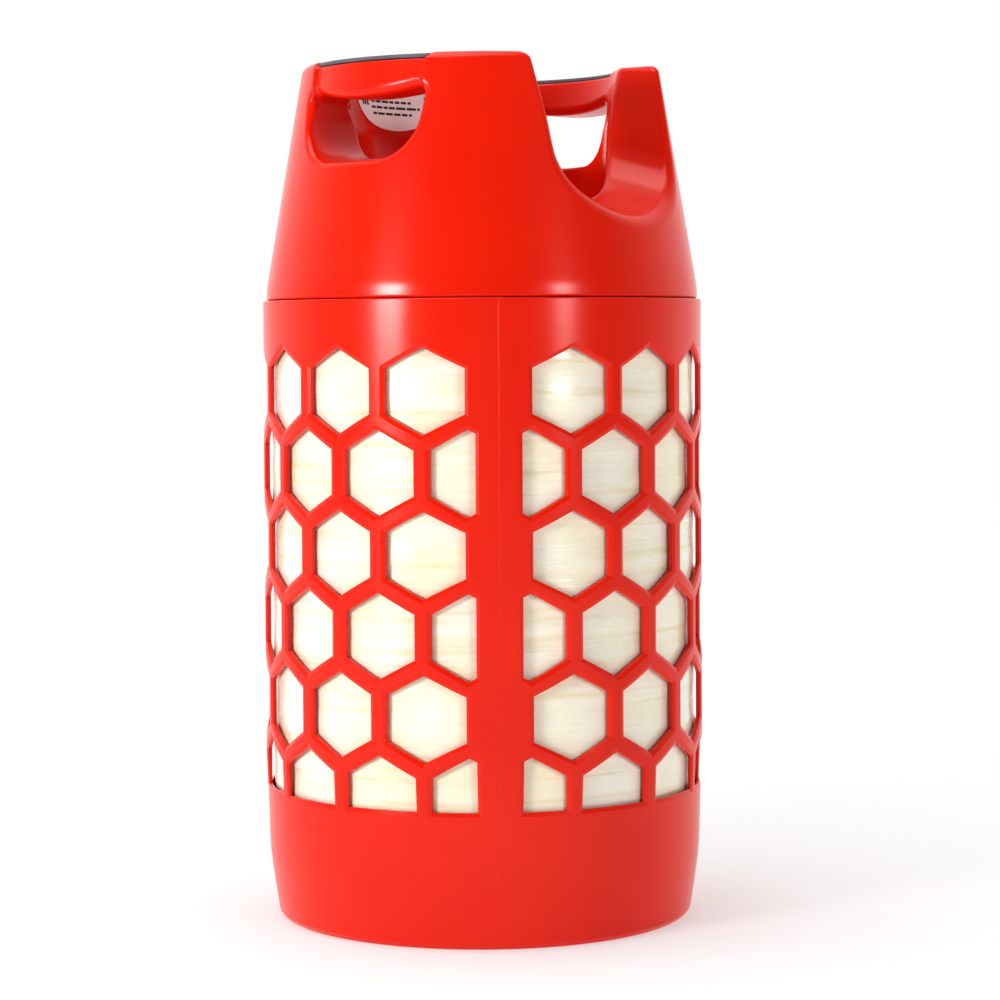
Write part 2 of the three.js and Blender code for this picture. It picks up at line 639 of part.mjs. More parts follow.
function add(name, [color, roughness, metalness], shape) {
  const material = new THREE.MeshStandardMaterial({ color, roughness, metalness })
  const mesh = new THREE.Mesh(toGeometry(shape), material)
  mesh.name = name
  propaneTank.add(mesh)
}

add('honeycomb_casing', casingRed, lowerCasing())
add('handle_collar', casingRed, collar())
add('left_handle_grip', gripGrey, grip(-1))
add('right_handle_grip', gripGrey, grip(1))
add('data_label', paperWhite, label())
add('fibre_overwrap', woundFibre, wrap())
add('inner_liner', linerPlastic, liner())
add('neck_boss', brass, boss())
add('boss_seal', blackRubber, solid(ring(27.3, 1.1, BOSS_UNDER_Z + 1.15)))
add('valve_body', brass, valveBody())
add('inlet_o_ring', blackRubber, solid(ring(14.9, 1.2, NECK_TOP_Z - 1.1)))
add('seat_plug', brass, seatPlug())
add('seat_disc', blackRubber, seatDisc())
add('spindle', brass, spindle())
add('gland_nut', brass, glandNut())
add('spindle_o_ring', blackRubber, solid(ring(5.85, 1.15, BODY_TOP_Z - 0.3)))
add('handwheel', wheelBlack, handwheel())
add('handwheel_screw', steel, handwheelScrew())
add('outlet_cap', capBlack, outletCap())
add('outlet_gasket', blackRubber, outletGasket())
add('relief_poppet', brass, reliefPoppet())
add('relief_seal', blackRubber, reliefSeal())
add('relief_spring', steel, reliefSpring())
add('relief_adjuster', brass, reliefPlug())
add('relief_dust_cap', capBlack, reliefDustCap())

export default propaneTank
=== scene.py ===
"""Looks of the composite propane cylinder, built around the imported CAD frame.

Shapes are worked out in millimetres in the CAD frame (+Z up, outlet towards -Y) and turned into metres
when a mesh is made.
"""

import math

import bpy
import numpy as np
from mathutils import Matrix, Vector
from mathutils.geometry import delaunay_2d_cdt


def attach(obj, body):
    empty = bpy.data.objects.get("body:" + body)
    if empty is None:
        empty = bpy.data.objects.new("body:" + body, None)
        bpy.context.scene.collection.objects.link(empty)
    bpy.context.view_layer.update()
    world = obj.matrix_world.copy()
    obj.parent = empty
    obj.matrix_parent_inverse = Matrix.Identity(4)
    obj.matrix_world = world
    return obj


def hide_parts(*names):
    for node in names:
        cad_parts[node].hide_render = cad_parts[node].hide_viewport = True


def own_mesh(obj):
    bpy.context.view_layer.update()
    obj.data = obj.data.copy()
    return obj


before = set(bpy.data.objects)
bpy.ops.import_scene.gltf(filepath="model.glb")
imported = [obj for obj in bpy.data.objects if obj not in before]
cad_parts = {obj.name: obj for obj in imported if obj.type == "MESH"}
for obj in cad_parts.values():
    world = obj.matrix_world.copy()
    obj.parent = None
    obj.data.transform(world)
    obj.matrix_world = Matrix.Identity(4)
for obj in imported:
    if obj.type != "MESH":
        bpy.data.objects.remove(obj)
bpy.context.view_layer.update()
MM = 0.001

# ---------- driving dimensions, as in the CAD unless a comment says otherwise ----------
HEIGHT = 588.0
CASING_R = 152.5
CASING_BORE = 147.8
WINDOW_BORE = 148.6 # of the wall that the windows are cut in, 0.8 thinner than in the CAD
SEAM_Z = 426.0
BAND = 45.0 # degrees from +X to one of the plain bands
BAND_HALF = 15.8
PITCH = 23.45 # degrees between neighbouring windows; 23.6 in the CAD
FIRST = 90 - 3 * PITCH
MOST_SLANT = 20 # degrees of a window's walls from the window's own middle; 24 in the CAD
ROWS = 6
ROW_TOP_Z = 365.3
ROW_PITCH = 53.4
HALF_WIDTH = 25.6
FIRST_HALF_WIDTH = 27.2 # of the wider windows beside the bands; 25.6 in the CAD
FIRST_SHIFT = 0.45 # degrees that they stand nearer to the band
HALF_HEIGHT = 28.8
SHOULDER = 15.0 # half the length of a window's upright sides
WINDOWS_END_Z = 91.0
FOOT_R = 151.3
TOP_R = 123.6
BOWL_FLOOR_Z = 477.0
BAR_UNDER_Z = 560.0
BAR_TOP_Z = 584.0
GRIP_SLOPE = 0.6 # sideways run of a grip's ends for each millimetre up
GRIP_SCALE = 1.166 # the length of (1, GRIP_SLOPE), which turns such a run into a distance
SPIGOT_R = 146.6
VESSEL_R = 147.0
VESSEL_NECK_R = 22.6
OUTLET_Z = 512.0
RELIEF_Z = 495.0
WHEEL_Z = 538.0


# ---------- mesh helpers ----------
def mesh_object(name, verts, faces, material, normals=None):
    """An object from vertices in millimetres, faces as index arrays of 3 or 4 columns, and corner normals."""
    me = bpy.data.meshes.new(name)
    me.vertices.add(len(verts))
    me.vertices.foreach_set("co", (np.asarray(verts, float) * MM).ravel())
    loops = np.concatenate([f.ravel() for f in faces])
    totals = np.concatenate([np.full(len(f), f.shape[1]) for f in faces])
    me.loops.add(len(loops))
    me.loops.foreach_set("vertex_index", loops.astype(np.int32))
    me.polygons.add(len(totals))
    me.polygons.foreach_set("loop_start", (np.cumsum(totals) - totals).astype(np.int32))
    me.polygons.foreach_set("use_smooth", np.ones(len(totals), bool))
    me.update(calc_edges=True)
    if normals is not None:
        me.normals_split_custom_set(np.asarray(normals, float).reshape(-1, 3).tolist())
    ob = bpy.data.objects.new(name, me)
    bpy.context.scene.collection.objects.link(ob)
    me.materials.append(material)
    return ob


def weld(verts, faces):
    """Vertices that lie in one place become one."""
    keys = np.round(verts * 2000 + 0.137).astype(np.int64)
    _, first, back = np.unique(keys, axis=0, return_index=True, return_inverse=True)
    back = back.ravel()
    return verts[first], [back[f] for f in faces]


class Patchwork:
    """Quads and triangles with corner normals, gathered from several patches."""

    def __init__(self):
        self.verts, self.count = [], 0
        self.faces = {3: [], 4: []}
        self.normals = {3: [], 4: []}

    def add(self, verts, faces, corner_normals):
        faces = np.asarray(faces, int)
        self.faces[faces.shape[1]].append(faces + self.count)
        self.normals[faces.shape[1]].append(np.asarray(corner_normals, float).reshape(len(faces), -1, 3))
        self.verts.append(np.asarray(verts, float))
        self.count += len(verts)

    def object(self, name, material):
        sides = [n for n in (4, 3) if self.faces[n]]
        faces = [np.concatenate(self.faces[n]) for n in sides]
        normals = np.concatenate([np.concatenate(self.normals[n]).reshape(-1, 3) for n in sides])
        verts, faces = weld(np.concatenate(self.verts), faces)
        return mesh_object(name, verts, faces, material, normals)


def without_pinches(quads):
    """Quads as they are, and the triangles left where two neighbouring corners are one."""
    same = quads == np.roll(quads, 1, axis=1)
    pinched = same.sum(1) == 1
    return [quads[same.sum(1) == 0], quads[pinched][~same[pinched]].reshape(-1, 3)]


def unit(v):
    return v / np.maximum(np.linalg.norm(v, axis=-1, keepdims=True), 1e-12)


def grid_quads(n, m, closed=False):
    """Quads of an n by m grid of points, numbered row by row; closed joins the last row to the first."""
    i, j = np.arange(n if closed else n - 1)[:, None], np.arange(m - 1)[None]
    after = (i + 1) % n
    return np.stack([i * m + j, after * m + j, after * m + j + 1, i * m + j + 1], axis=-1).reshape(-1, 4)


def quad_crosses(verts, quads):
    """The cross product of each quad's diagonals, which points along its normal."""
    p = verts[quads]
    return np.cross(p[:, 2] - p[:, 0], p[:, 3] - p[:, 1])


def both(a, b, r):
    """Where two solids overlap, with a rounded edge."""
    return np.minimum(-r, np.maximum(a, b)) + np.hypot(np.maximum(r + a, 0), np.maximum(r + b, 0))


def either(a, b, r):
    """Two solids joined with a fillet."""
    return np.maximum(r, np.minimum(a, b)) - np.hypot(np.maximum(r - a, 0), np.maximum(r - b, 0))


def cut(a, tool, r):
    return both(a, -tool, r)


def bored(d, *bores):
    """A solid with bores cut out of it: each one's wall, ends, corner radius and edge radius."""
    for wall, ends, corner, edge in bores:
        d = cut(d, both(wall, ends, corner), edge)
    return d


def slope_of(field, p, h=0.04):
    """The gradient of a distance field at each point."""
    out = np.empty_like(p)
    for k in range(3):
        d = np.zeros(3)
        d[k] = h
        out[:, k] = (field(*(p + d).T) - field(*(p - d).T)) / (2 * h)
    return out


def surface_of(field, grid, wrap=False):
    """The zero surface of a distance field on a grid of points: vertices, quads and vertex normals."""
    if wrap:
        grid = np.concatenate([grid, grid[:, :1]], axis=1)
    value = field(*grid)
    cells = tuple(n - 1 for n in value.shape)
    total = np.zeros((4,) + cells)
    crossings = []
    for axis in range(3):
        low = [slice(None)] * 3
        high = [slice(None)] * 3
        low[axis], high[axis] = slice(None, -1), slice(1, None)
        v0, v1 = value[tuple(low)], value[tuple(high)]
        crossed = (v0 < 0) != (v1 < 0)
        t = np.where(crossed, v0 / np.where(crossed, v0 - v1, 1), 0)
        p0, p1 = grid[(slice(None),) + tuple(low)], grid[(slice(None),) + tuple(high)]
        point = np.concatenate([(p0 + t * (p1 - p0)) * crossed, crossed[None].astype(float)])
        a, b = [k for k in range(3) if k != axis]
        for sa in (slice(None, -1), slice(1, None)):
            for sb in (slice(None, -1), slice(1, None)):
                pick = [slice(None)] * 3
                pick[a], pick[b] = sa, sb
                total += point[(slice(None),) + tuple(pick)]
        crossings.append((crossed, v0 < 0, a, b))
    used = total[3] > 0
    ids = np.full(cells, -1)
    ids[used] = np.arange(used.sum())
    verts = (total[:3, used] / total[3, used]).T
    quads = []
    for axis, (crossed, inside, a, b) in enumerate(crossings):
        where = np.array(np.nonzero(crossed))
        keep = np.ones(where.shape[1], bool)
        for k in (a, b):
            keep &= where[k] < cells[k]
            if not (wrap and k == 0):
                keep &= where[k] > 0
        where = where[:, keep]
        ring = []
        for da, db in ((-1, -1), (0, -1), (0, 0), (-1, 0)):
            at = where.copy()
            at[a] += da
            at[b] += db
            if wrap:
                at[0] %= cells[0]
            ring.append(ids[tuple(at)])
        quad = np.stack(ring, axis=1)
        flip = inside[tuple(where)] == (axis != 1)
        quad[flip] = quad[flip][:, ::-1]
        quads.append(quad)
    quads = np.concatenate(quads)
    for _ in range(4):
        g = slope_of(field, verts)
        size = np.maximum((g * g).sum(1, keepdims=True), 0.05)
        verts = verts - np.clip(field(*verts.T)[:, None] * g / size, -1.5, 1.5)
    normals = unit(slope_of(field, verts))
    if (quad_crosses(verts, quads) * normals[quads[:, 0]]).sum() < 0:
        quads = quads[:, ::-1]
    return verts, quads, normals


def solid_piece(name, field, low, high, step, material):
    """A piece from a distance field on an even grid."""
    axes = [np.arange(a - 1.7 * step, b + 1.7 * step, step) for a, b in zip(low, high)]
    grid = np.stack(np.meshgrid(*axes, indexing="ij"))
    verts, quads, normals = surface_of(field, grid)
    return mesh_object(name, verts, [quads], material, normals[quads.ravel()])


def rounded_profile(points, radii, steps=5):
    """An outline with its corners rounded: points and outward normals, anticlockwise in [r, z]."""
    pts = [np.array(p, float) for p in points]
    out, normals = [], []

    def put(p, d):
        out.append(p)
        normals.append(np.array([d[1], -d[0]]))

    for k, p in enumerate(pts):
        if k == 0:
            put(p, unit(pts[1] - p))
        elif k == len(pts) - 1:
            put(p, unit(p - pts[k - 1]))
        else:
            before, after = unit(p - pts[k - 1]), unit(pts[k + 1] - p)
            turn = math.acos(max(-1, min(1, float(before @ after))))
            if turn < 0.05:
                put(p, unit(before + after))
                continue
            reach = min(radii[k] * math.tan(turn / 2), 0.49 * np.linalg.norm(p - pts[k - 1]),
                        0.49 * np.linalg.norm(pts[k + 1] - p))
            radius = reach / math.tan(turn / 2)
            side = 1 if before[0] * after[1] - before[1] * after[0] > 0 else -1
            centre = p - before * reach + side * radius * np.array([-before[1], before[0]])
            for j in range(steps + 1):
                a = side * turn * j / steps
                c, s = math.cos(a), math.sin(a)
                d = np.array([before[0] * c - before[1] * s, before[0] * s + before[1] * c])
                put(centre + side * radius * np.array([d[1], -d[0]]), d)
    return np.array(out), np.array(normals)


def lathe_patch(profile, normals, angles):
    """Quads of a surface of revolution about Z; angles in radians, anticlockwise."""
    n, m = len(angles), len(profile)
    c, s = np.cos(angles)[:, None], np.sin(angles)[:, None]
    verts = np.stack([c * profile[:, 0], s * profile[:, 0], np.tile(profile[:, 1], (n, 1))], axis=-1)
    slopes = np.stack([c * normals[:, 0], s * normals[:, 0], np.tile(normals[:, 1], (n, 1))], axis=-1)
    return verts.reshape(-1, 3), grid_quads(n, m, closed=True), slopes.reshape(-1, 3)


def lathe_piece(name, points, radii, material, segments=96):
    """A piece turned about Z, with rounded corners."""
    profile, normals = rounded_profile(points, radii)
    verts, quads, slopes = lathe_patch(profile, normals, np.linspace(0, 2 * np.pi, segments, endpoint=False))
    quads = quads[np.linalg.norm(quad_crosses(verts, quads), axis=1) > 1e-9]
    corner_normals = slopes[quads.ravel()]
    verts, quads = weld(verts, [quads])
    return mesh_object(name, verts, quads, material, corner_normals)


# ---------- lower casing ----------
RIDGE = 0.22 # height of the parting line
RIDGE_HALF = 0.55
CHAMFER = 2.6
CHAMFER_DEPTH = 1.1
SHEET_Z = (80.0, 404.0)
STEP_DEG = 1.5


def casing_radius(z):
    """The casing's outer radius: it draws in gently below the windows, towards the foot."""
    heights = [0, 4, 12, 24, 34, 42, 48, 56, 75, 90, 105, 118, 130, SEAM_Z]
    radii = [143.3, 144.0, 145.3, 147.1, 148.5, 149.5, 150.05, 150.35, 150.8, 151.35, 151.95, 152.35,
             CASING_R, CASING_R]
    fine = np.arange(-10, 450, 1.0)
    curve = np.interp(fine, heights, radii)
    kernel = np.hanning(13)
    kernel /= kernel.sum()
    curve = np.convolve(np.pad(curve, 6, mode="edge"), kernel, mode="valid")
    return np.interp(z, fine, curve)


def window_polygon(inner, outer, row_z):
    slope = (HALF_HEIGHT - SHOULDER) / outer
    upper = [(x, HALF_HEIGHT - slope * abs(x)) for x in (outer, 0, inner)]
    lower = [(x, max(-z, WINDOWS_END_Z - row_z)) for x, z in reversed(upper)]
    return np.array(upper + lower)


def grown(poly, width):
    """A convex anticlockwise outline moved outward by one width, with mitred corners."""
    before, after = np.roll(poly, 1, axis=0), np.roll(poly, -1, axis=0)
    d0, d1 = unit(poly - before), unit(after - poly)
    n0, n1 = np.stack([d0[:, 1], -d0[:, 0]], 1), np.stack([d1[:, 1], -d1[:, 0]], 1)
    return poly + width * (n0 + n1) / (1 + (n0 * n1).sum(1))[:, None]


def divided(poly, counts):
    """Points along each side, and whether each is a corner."""
    points, corner = [], []
    for k, n in enumerate(counts):
        a, b = poly[k], poly[(k + 1) % len(poly)]
        for j in range(n):
            points.append(a + (b - a) * j / n)
            corner.append(j == 0)
    return np.array(points), np.array(corner)


def on_casing(flat, centre, lean, radius_of):
    """Where a window wall meets a surface: flat [sideways, up] points become [angle from the band, z]."""
    z = flat[:, 1]
    rho = radius_of(z)
    x = flat[:, 0].copy()
    for _ in range(6):
        x = flat[:, 0] + lean * (np.sqrt(rho ** 2 - x ** 2) - CASING_R)
    return np.stack([centre + np.degrees(np.arcsin(x / rho)), z], 1)


def half_windows():
    """The windows of one half casing: centre angle, its two sides, row height, and which way it faces."""
    part = FIRST - PITCH / 2
    part_inner = BAND_HALF - CASING_R * math.sin(math.radians(part))
    out = []
    for row in range(ROWS):
        z = ROW_TOP_Z - row * ROW_PITCH
        if row % 2 == 0:
            first = FIRST - FIRST_SHIFT
            out += [(a, -FIRST_HALF_WIDTH, FIRST_HALF_WIDTH, z, 1) for a in (first, 180 - first)]
            out += [(FIRST + k * PITCH, -HALF_WIDTH, HALF_WIDTH, z, 1) for k in range(1, 6)]
        else:
            out += [(FIRST + (k + 0.5) * PITCH, -HALF_WIDTH, HALF_WIDTH, z, 1) for k in range(6)]
            out += [(part, part_inner, HALF_WIDTH, z, 1), (180 - part, part_inner, HALF_WIDTH, z, -1)]
    return out


def rings_of(centre, inner, outer, row_z, facing):
    """Three rings round one window, at the face, under the chamfer and at the bore, in [angle, z]."""
    poly = window_polygon(inner, outer, row_z)
    if facing < 0:
        poly = (poly * (-1, 1))[::-1]
    # the mould's slides draw at 45 and 135 degrees from the band, and the middle windows straight out
    draw = centre if abs(centre - 90) < PITCH / 4 else (45 if centre < 90 else 135)
    lean = math.tan(math.radians(min(MOST_SLANT, max(-MOST_SLANT, draw - centre))))
    lengths = np.linalg.norm(np.roll(poly, -1, axis=0) - poly, axis=1)
    counts = np.maximum(2, np.round(lengths / 4.2)).astype(int)
    offset = np.array([0, row_z])
    rings = []
    for width, depth in ((CHAMFER, 0), (0, CHAMFER_DEPTH), (0, None)):
        flat, corner = divided(grown(poly, width), counts)
        bore = lambda z: np.full(len(z), WINDOW_BORE)
        face = lambda z, d=depth: casing_radius(z) - (d or 0)
        rings.append(on_casing(flat + offset, centre, lean, bore if depth is None else face))
    return rings, corner


def inside_convex(points, poly, margin):
    """Which points lie inside an anticlockwise convex outline, or within a margin of it."""
    inside = np.ones(len(points), bool)
    for a, b in zip(poly, np.roll(poly, -1, axis=0)):
        d = unit(b - a)
        inside &= (points[:, 0] - a[0]) * d[1] - (points[:, 1] - a[1]) * d[0] < margin
    return inside


def inside_ring(points, ring):
    """Which points lie inside a closed outline, by the even-odd rule."""
    a, b = ring, np.roll(ring, -1, axis=0)
    x, y = points[:, :1], points[:, 1:]
    spans = (a[:, 1] > y) != (b[:, 1] > y)
    rise = np.where(spans, b[:, 1] - a[:, 1], 1)
    crossing = a[:, 0] + (y - a[:, 1]) * (b[:, 0] - a[:, 0]) / rise
    return (spans & (x < crossing)).sum(1) % 2 == 1


def flat_sheet(border, outlines, corners, spacing, scale=(1, 1)):
    """Triangles of a plane sheet with holes. Outlines and border are anticlockwise rings of points."""
    scale = np.array(scale, float)
    border = border * scale
    outlines = [o * scale for o in outlines]
    hulls = [o[c] for o, c in zip(outlines, corners)]
    low, high = border.min(0), border.max(0)
    nx = max(2, int(round((high[0] - low[0]) / spacing[0])))
    nz = max(2, int(round((high[1] - low[1]) / spacing[1])))
    gx, gz = np.meshgrid(*(np.linspace(low[k], high[k], n + 1)[1:-1] for k, n in enumerate((nx, nz))))
    gx[::2] += 0.5 * (high[0] - low[0]) / nx * 0.98
    loose = np.stack([gx.ravel(), gz.ravel()], 1)
    loose = loose[inside_convex(loose, border, -1.5)]
    for hull in hulls:
        near = (np.abs(loose - hull.mean(0)) < 48).all(1)
        bad = np.zeros(len(loose), bool)
        bad[near] = inside_convex(loose[near], hull, 1.6)
        loose = loose[~bad]
    rings = [border] + outlines
    edges, start = [], 0
    for n in map(len, rings):
        edges += [(start + k, start + (k + 1) % n) for k in range(n)]
        start += n
    points = np.concatenate(rings + [loose])
    out = delaunay_2d_cdt([Vector(p) for p in points.tolist()], edges, [], 0, 1e-5)
    flat = np.array([tuple(p) for p in out[0]])
    source = [o[0] if o else -1 for o in out[3]]
    flat = np.array([points[s] if s >= 0 else f for s, f in zip(source, flat)])
    tris = np.array(out[2])
    middle = flat[tris].mean(1)
    keep = inside_convex(middle, border, 0)
    for outline in outlines:
        reach = np.abs(outline - outline.mean(0)).max()
        near = (np.abs(middle - outline.mean(0)) <= reach).all(1)
        keep[near] &= ~inside_ring(middle[near], outline)
    tris = tris[keep]
    a, b, c = (flat[tris[:, k]] for k in range(3))
    area = (b[:, 0] - a[:, 0]) * (c[:, 1] - a[:, 1]) - (b[:, 1] - a[:, 1]) * (c[:, 0] - a[:, 0])
    tris[area < 0] = tris[area < 0][:, ::-1]
    return flat / scale, tris[np.abs(area) > 1e-6]


def half_angles():
    """Angles from the band of the casing's columns over one half, in degrees."""
    edge = math.degrees(RIDGE_HALF / CASING_R)
    return np.array([0, edge] + list(np.arange(STEP_DEG, 180 - 0.1, STEP_DEG)) + [180 - edge, 180])


def casing_point(angle, z, rho):
    """Points on the casing from angles from the band in degrees."""
    a = np.radians(angle + BAND)
    return np.stack(np.broadcast_arrays(rho * np.cos(a), rho * np.sin(a), z), -1)


def casing_normal(angle, z):
    slope = casing_radius(z + 0.5) - casing_radius(z - 0.5)
    a = np.radians(angle + BAND)
    return unit(np.stack([np.cos(a), np.sin(a), -slope], -1))


def build_casing(material):
    patches = Patchwork()
    windows = [rings_of(*w) for w in half_windows()]
    columns = half_angles()[1:-1]
    heights = np.linspace(*SHEET_Z, int((SHEET_Z[1] - SHEET_Z[0]) / 6) + 1)
    between = heights[1:-1]
    sides = ((columns, SHEET_Z[0]), (columns[-1], between),
             (columns[::-1], SHEET_Z[1]), (columns[0], between[::-1]))
    border = np.concatenate([np.stack(np.broadcast_arrays(*side), 1) for side in sides])
    around = math.radians(1) * CASING_R
    corners = [corner for _, corner in windows]
    outer, outer_tris = flat_sheet(border, [r[0] for r, _ in windows], corners, (4.6, 5), (around, 1))
    inner, inner_tris = flat_sheet(border, [r[2] for r, _ in windows], corners, (6, 8), (around, 1))
    for side in (1, -1):
        turn = lambda f: f if side > 0 else f[:, ::-1]
        verts = casing_point(side * outer[:, 0], outer[:, 1], casing_radius(outer[:, 1]))
        tris = turn(outer_tris)
        patches.add(verts, tris, casing_normal(side * outer[:, 0], outer[:, 1])[tris])
        verts = casing_point(side * inner[:, 0], inner[:, 1], WINDOW_BORE)
        tris = turn(inner_tris[:, ::-1])
        patches.add(verts, tris, -unit(verts * (1, 1, 0))[tris])
        for rings, corner in windows:
            flat = [casing_radius(rings[0][:, 1]), casing_radius(rings[1][:, 1]) - CHAMFER_DEPTH, WINDOW_BORE]
            loops = [casing_point(side * r[:, 0], r[:, 1], rho) for r, rho in zip(rings, flat)]
            for first, second in zip(loops[:-1], loops[1:]):
                add_wall(patches, first, second, corner, side < 0)
        add_ridge(patches, heights, 0 if side > 0 else 180, columns)
    add_turned_casing(patches)
    return patches.object("casing_basket", material)


def add_wall(patches, outer, inner, corner, mirrored):
    """A strip of quads between two rings round a window, smooth along each side and crisp at its corners."""
    n = len(outer)
    k = np.arange(n)
    nxt = (k + 1) % n
    quads = np.stack([k, nxt, n + nxt, n + k], 1)
    verts = np.concatenate([outer, inner])
    if mirrored:
        quads = quads[:, ::-1]
    face = unit(quad_crosses(verts, quads))
    start = np.where(corner[:, None], face, unit(face + np.roll(face, 1, axis=0)))
    end = np.where(np.roll(corner, -1)[:, None], face, unit(face + np.roll(face, -1, axis=0)))
    by_corner = np.stack([start, end, end, start], 1)
    if mirrored:
        by_corner = by_corner[:, ::-1]
    patches.add(verts, quads, by_corner)


def add_ridge(patches, heights, angle, columns):
    """The raised parting line down one band, over the height of the windows."""
    edge = columns[0]
    for a, b, lift in ((-edge, 0, (0, RIDGE)), (0, edge, (RIDGE, 0))):
        face = ((a, lift[0]), (b, lift[1]))
        add_grid(patches, np.stack([casing_point(angle + off, heights, casing_radius(heights) + up)
                                    for off, up in face]))
        add_grid(patches, np.stack([casing_point(angle + off, heights, WINDOW_BORE) for off in (b, a)]))


def add_grid(patches, points):
    """A grid of points as quads with a flat normal each."""
    quads = grid_quads(*points.shape[:2])
    verts = points.reshape(-1, 3)
    face = unit(quad_crosses(verts, quads))
    patches.add(verts, quads, np.repeat(face[:, None], 4, axis=1))


def add_turned_casing(patches):
    """The rest of the casing: the foot, the top rim, the floor and its drains."""
    half = half_angles()
    angles = np.concatenate([half, 360 - half[-2:0:-1]])
    ridged = np.isin(angles, (0, 180))
    theta = np.radians(angles + BAND)

    def turned(points, radii, lifts=None):
        profile, normals = rounded_profile(points, radii)
        verts, quads, slopes = lathe_patch(profile, normals, theta)
        if lifts is not None:
            outside = profile[:, 0] > 0.985 * casing_radius(profile[:, 1]) # the bore stays below this
            rise = np.interp(profile[:, 1], *lifts) * outside * ridged[:, None]
            verts += rise.reshape(-1, 1) * unit(verts * (1, 1, 0))
            normals3 = slopes[quads].copy()
            touched = (rise.reshape(-1)[quads] > 0).any(1)
            normals3[touched] = unit(quad_crosses(verts, quads[touched]))[:, None]
            patches.add(verts, quads, normals3)
        else:
            patches.add(verts, quads, slopes[quads])

    low = [(128, 8), (128, 0), (140.8, 0), (143.9, 3.4)]
    low += [(float(casing_radius(z)), z) for z in np.arange(6, SHEET_Z[0], 3)]
    low.append((float(casing_radius(SHEET_Z[0])), SHEET_Z[0]))
    turned(low, [0, 0.6, 2.2, 3] + [1] * (len(low) - 4), ([4, 8, 500], [0, RIDGE, RIDGE]))
    top = [(CASING_R, z) for z in np.linspace(SHEET_Z[1], SEAM_Z - 3, 4)]
    top += [(CASING_R, SEAM_Z), (147.2, SEAM_Z), (147.2, 414), (CASING_BORE, 411), (WINDOW_BORE, SHEET_Z[1])]
    turned(top, [1] * 5 + [0.6, 1, 1, 1], ([0, SEAM_Z - 1.5, SEAM_Z - 1], [RIDGE, RIDGE, 0]))
    turned([(WINDOW_BORE, SHEET_Z[0]), (146, 60), (139.5, 20), (134, 12)], [1, 8, 3, 1])
    turned([(97, 12), (97, 35.2), (92, 33.2), (92, 12), (25, 12), (25, 8)], [1, 0.8, 0.8, 1.5, 1.2, 1])
    for radius_in, radius_out, z, up in ((25, 128, 8, False), (97, 134, 12, True)):
        add_floor(patches, theta, radius_in, radius_out, z, up)


def add_floor(patches, theta, radius_in, radius_out, z, up):
    """One side of the floor, a flat ring with six drain slots, and on the lower side the slots' walls."""
    ring = lambda r: np.stack([r * np.cos(theta), r * np.sin(theta)], 1)
    outlines, corners = [], []
    for k in range(6):
        a = math.radians(60 * k + 30)
        c, s = math.cos(a), math.sin(a)
        box = np.array([(116.5, -17), (116.5, 17), (107.5, 17), (107.5, -17)])
        box = np.stack([box[:, 0] * c - box[:, 1] * s, box[:, 0] * s + box[:, 1] * c], 1)
        points, corner = divided(box, [8, 3, 8, 3])
        outlines.append(points)
        corners.append(corner)
        if not up:
            low = np.column_stack([points, np.full(len(points), 8.0)])
            high = np.column_stack([points, np.full(len(points), 12.0)])
            add_wall(patches, high, low, corner, False)
    inner = ring(radius_in)
    outlines.append(inner)
    corners.append(np.ones(len(inner), bool))
    flat, tris = flat_sheet(ring(radius_out), outlines, corners, (9, 9))
    tris = tris if up else tris[:, ::-1]
    verts = np.column_stack([flat, np.full(len(flat), float(z))])
    normal = np.zeros((len(tris), 3, 3))
    normal[:, :, 2] = 1 if up else -1
    patches.add(verts, tris, normal)


# ---------- handle collar ----------
def cone_radius(z):
    """The collar's outer radius, a cone that is held to 150 near its foot."""
    cone = TOP_R + (HEIGHT - z) * (FOOT_R - TOP_R) / (HEIGHT - SEAM_Z)
    over = 150.0 - cone
    return cone + np.minimum(0.5 * (over - np.sqrt(over ** 2 + 0.25)), 0) * (z > 420)


def bowl_radius(z):
    return np.interp(z, [470, 500, 525, 545, 567, 588, 600], [86.5, 86.5, 87.3, 88.6, 91.5, 96.5, 99.4])


def notch_field(x, y, z):
    """The cut for the valve's outlet: a shallow arc with rounded corners and leaning sides."""
    sink = math.tan(math.radians(14))
    floor_r, corner_r, sweep, lean = 88.0, 36.0, math.radians(28), math.radians(6)
    centre_z = 480 + cone_radius(480) * sink + floor_r
    corner_x = (floor_r - corner_r) * math.sin(sweep)
    corner_z = centre_z - (floor_r - corner_r) * math.cos(sweep)
    u, v = np.abs(x), z - sink * y
    floor = np.hypot(u, v - centre_z) - floor_r
    corner = np.hypot(u - corner_x, v - corner_z) - corner_r
    side = (u - corner_x) * math.cos(lean) - (v - corner_z) * math.sin(lean) - corner_r
    on_side = (v - corner_z) * math.cos(lean) + (u - corner_x) * math.sin(lean) > 0
    on_floor = u * math.cos(sweep) + (v - centre_z) * math.sin(sweep) < 0
    d = np.where(on_side, side, np.where(on_floor, floor, corner))
    return np.maximum(d / math.hypot(1, 0.7 * sink), y + 30)


def hand_hole_field(x, y, z):
    """Both hand holes: flat floors that rise inward, round lower corners, a belly above to fit the palm."""
    along, u = np.abs(x), np.abs(y)
    floor = 517 + np.clip(138 - along, 0, 60) * math.tan(math.radians(5.3))
    corner = 29.0
    round_part = np.hypot(np.maximum(u - (50 - corner), 0), np.minimum(z - (floor + corner), 0)) - corner
    lower = np.where(z > floor + corner, u - 50, round_part)
    rise, reach = 4.5, 43.0
    belly_r = (reach ** 2 + rise ** 2) / (2 * rise)
    belly = belly_r - np.hypot(u, z - BAR_UNDER_Z - belly_r)
    d = both(lower, belly, 7.0)
    return np.maximum(d, 60 - along)


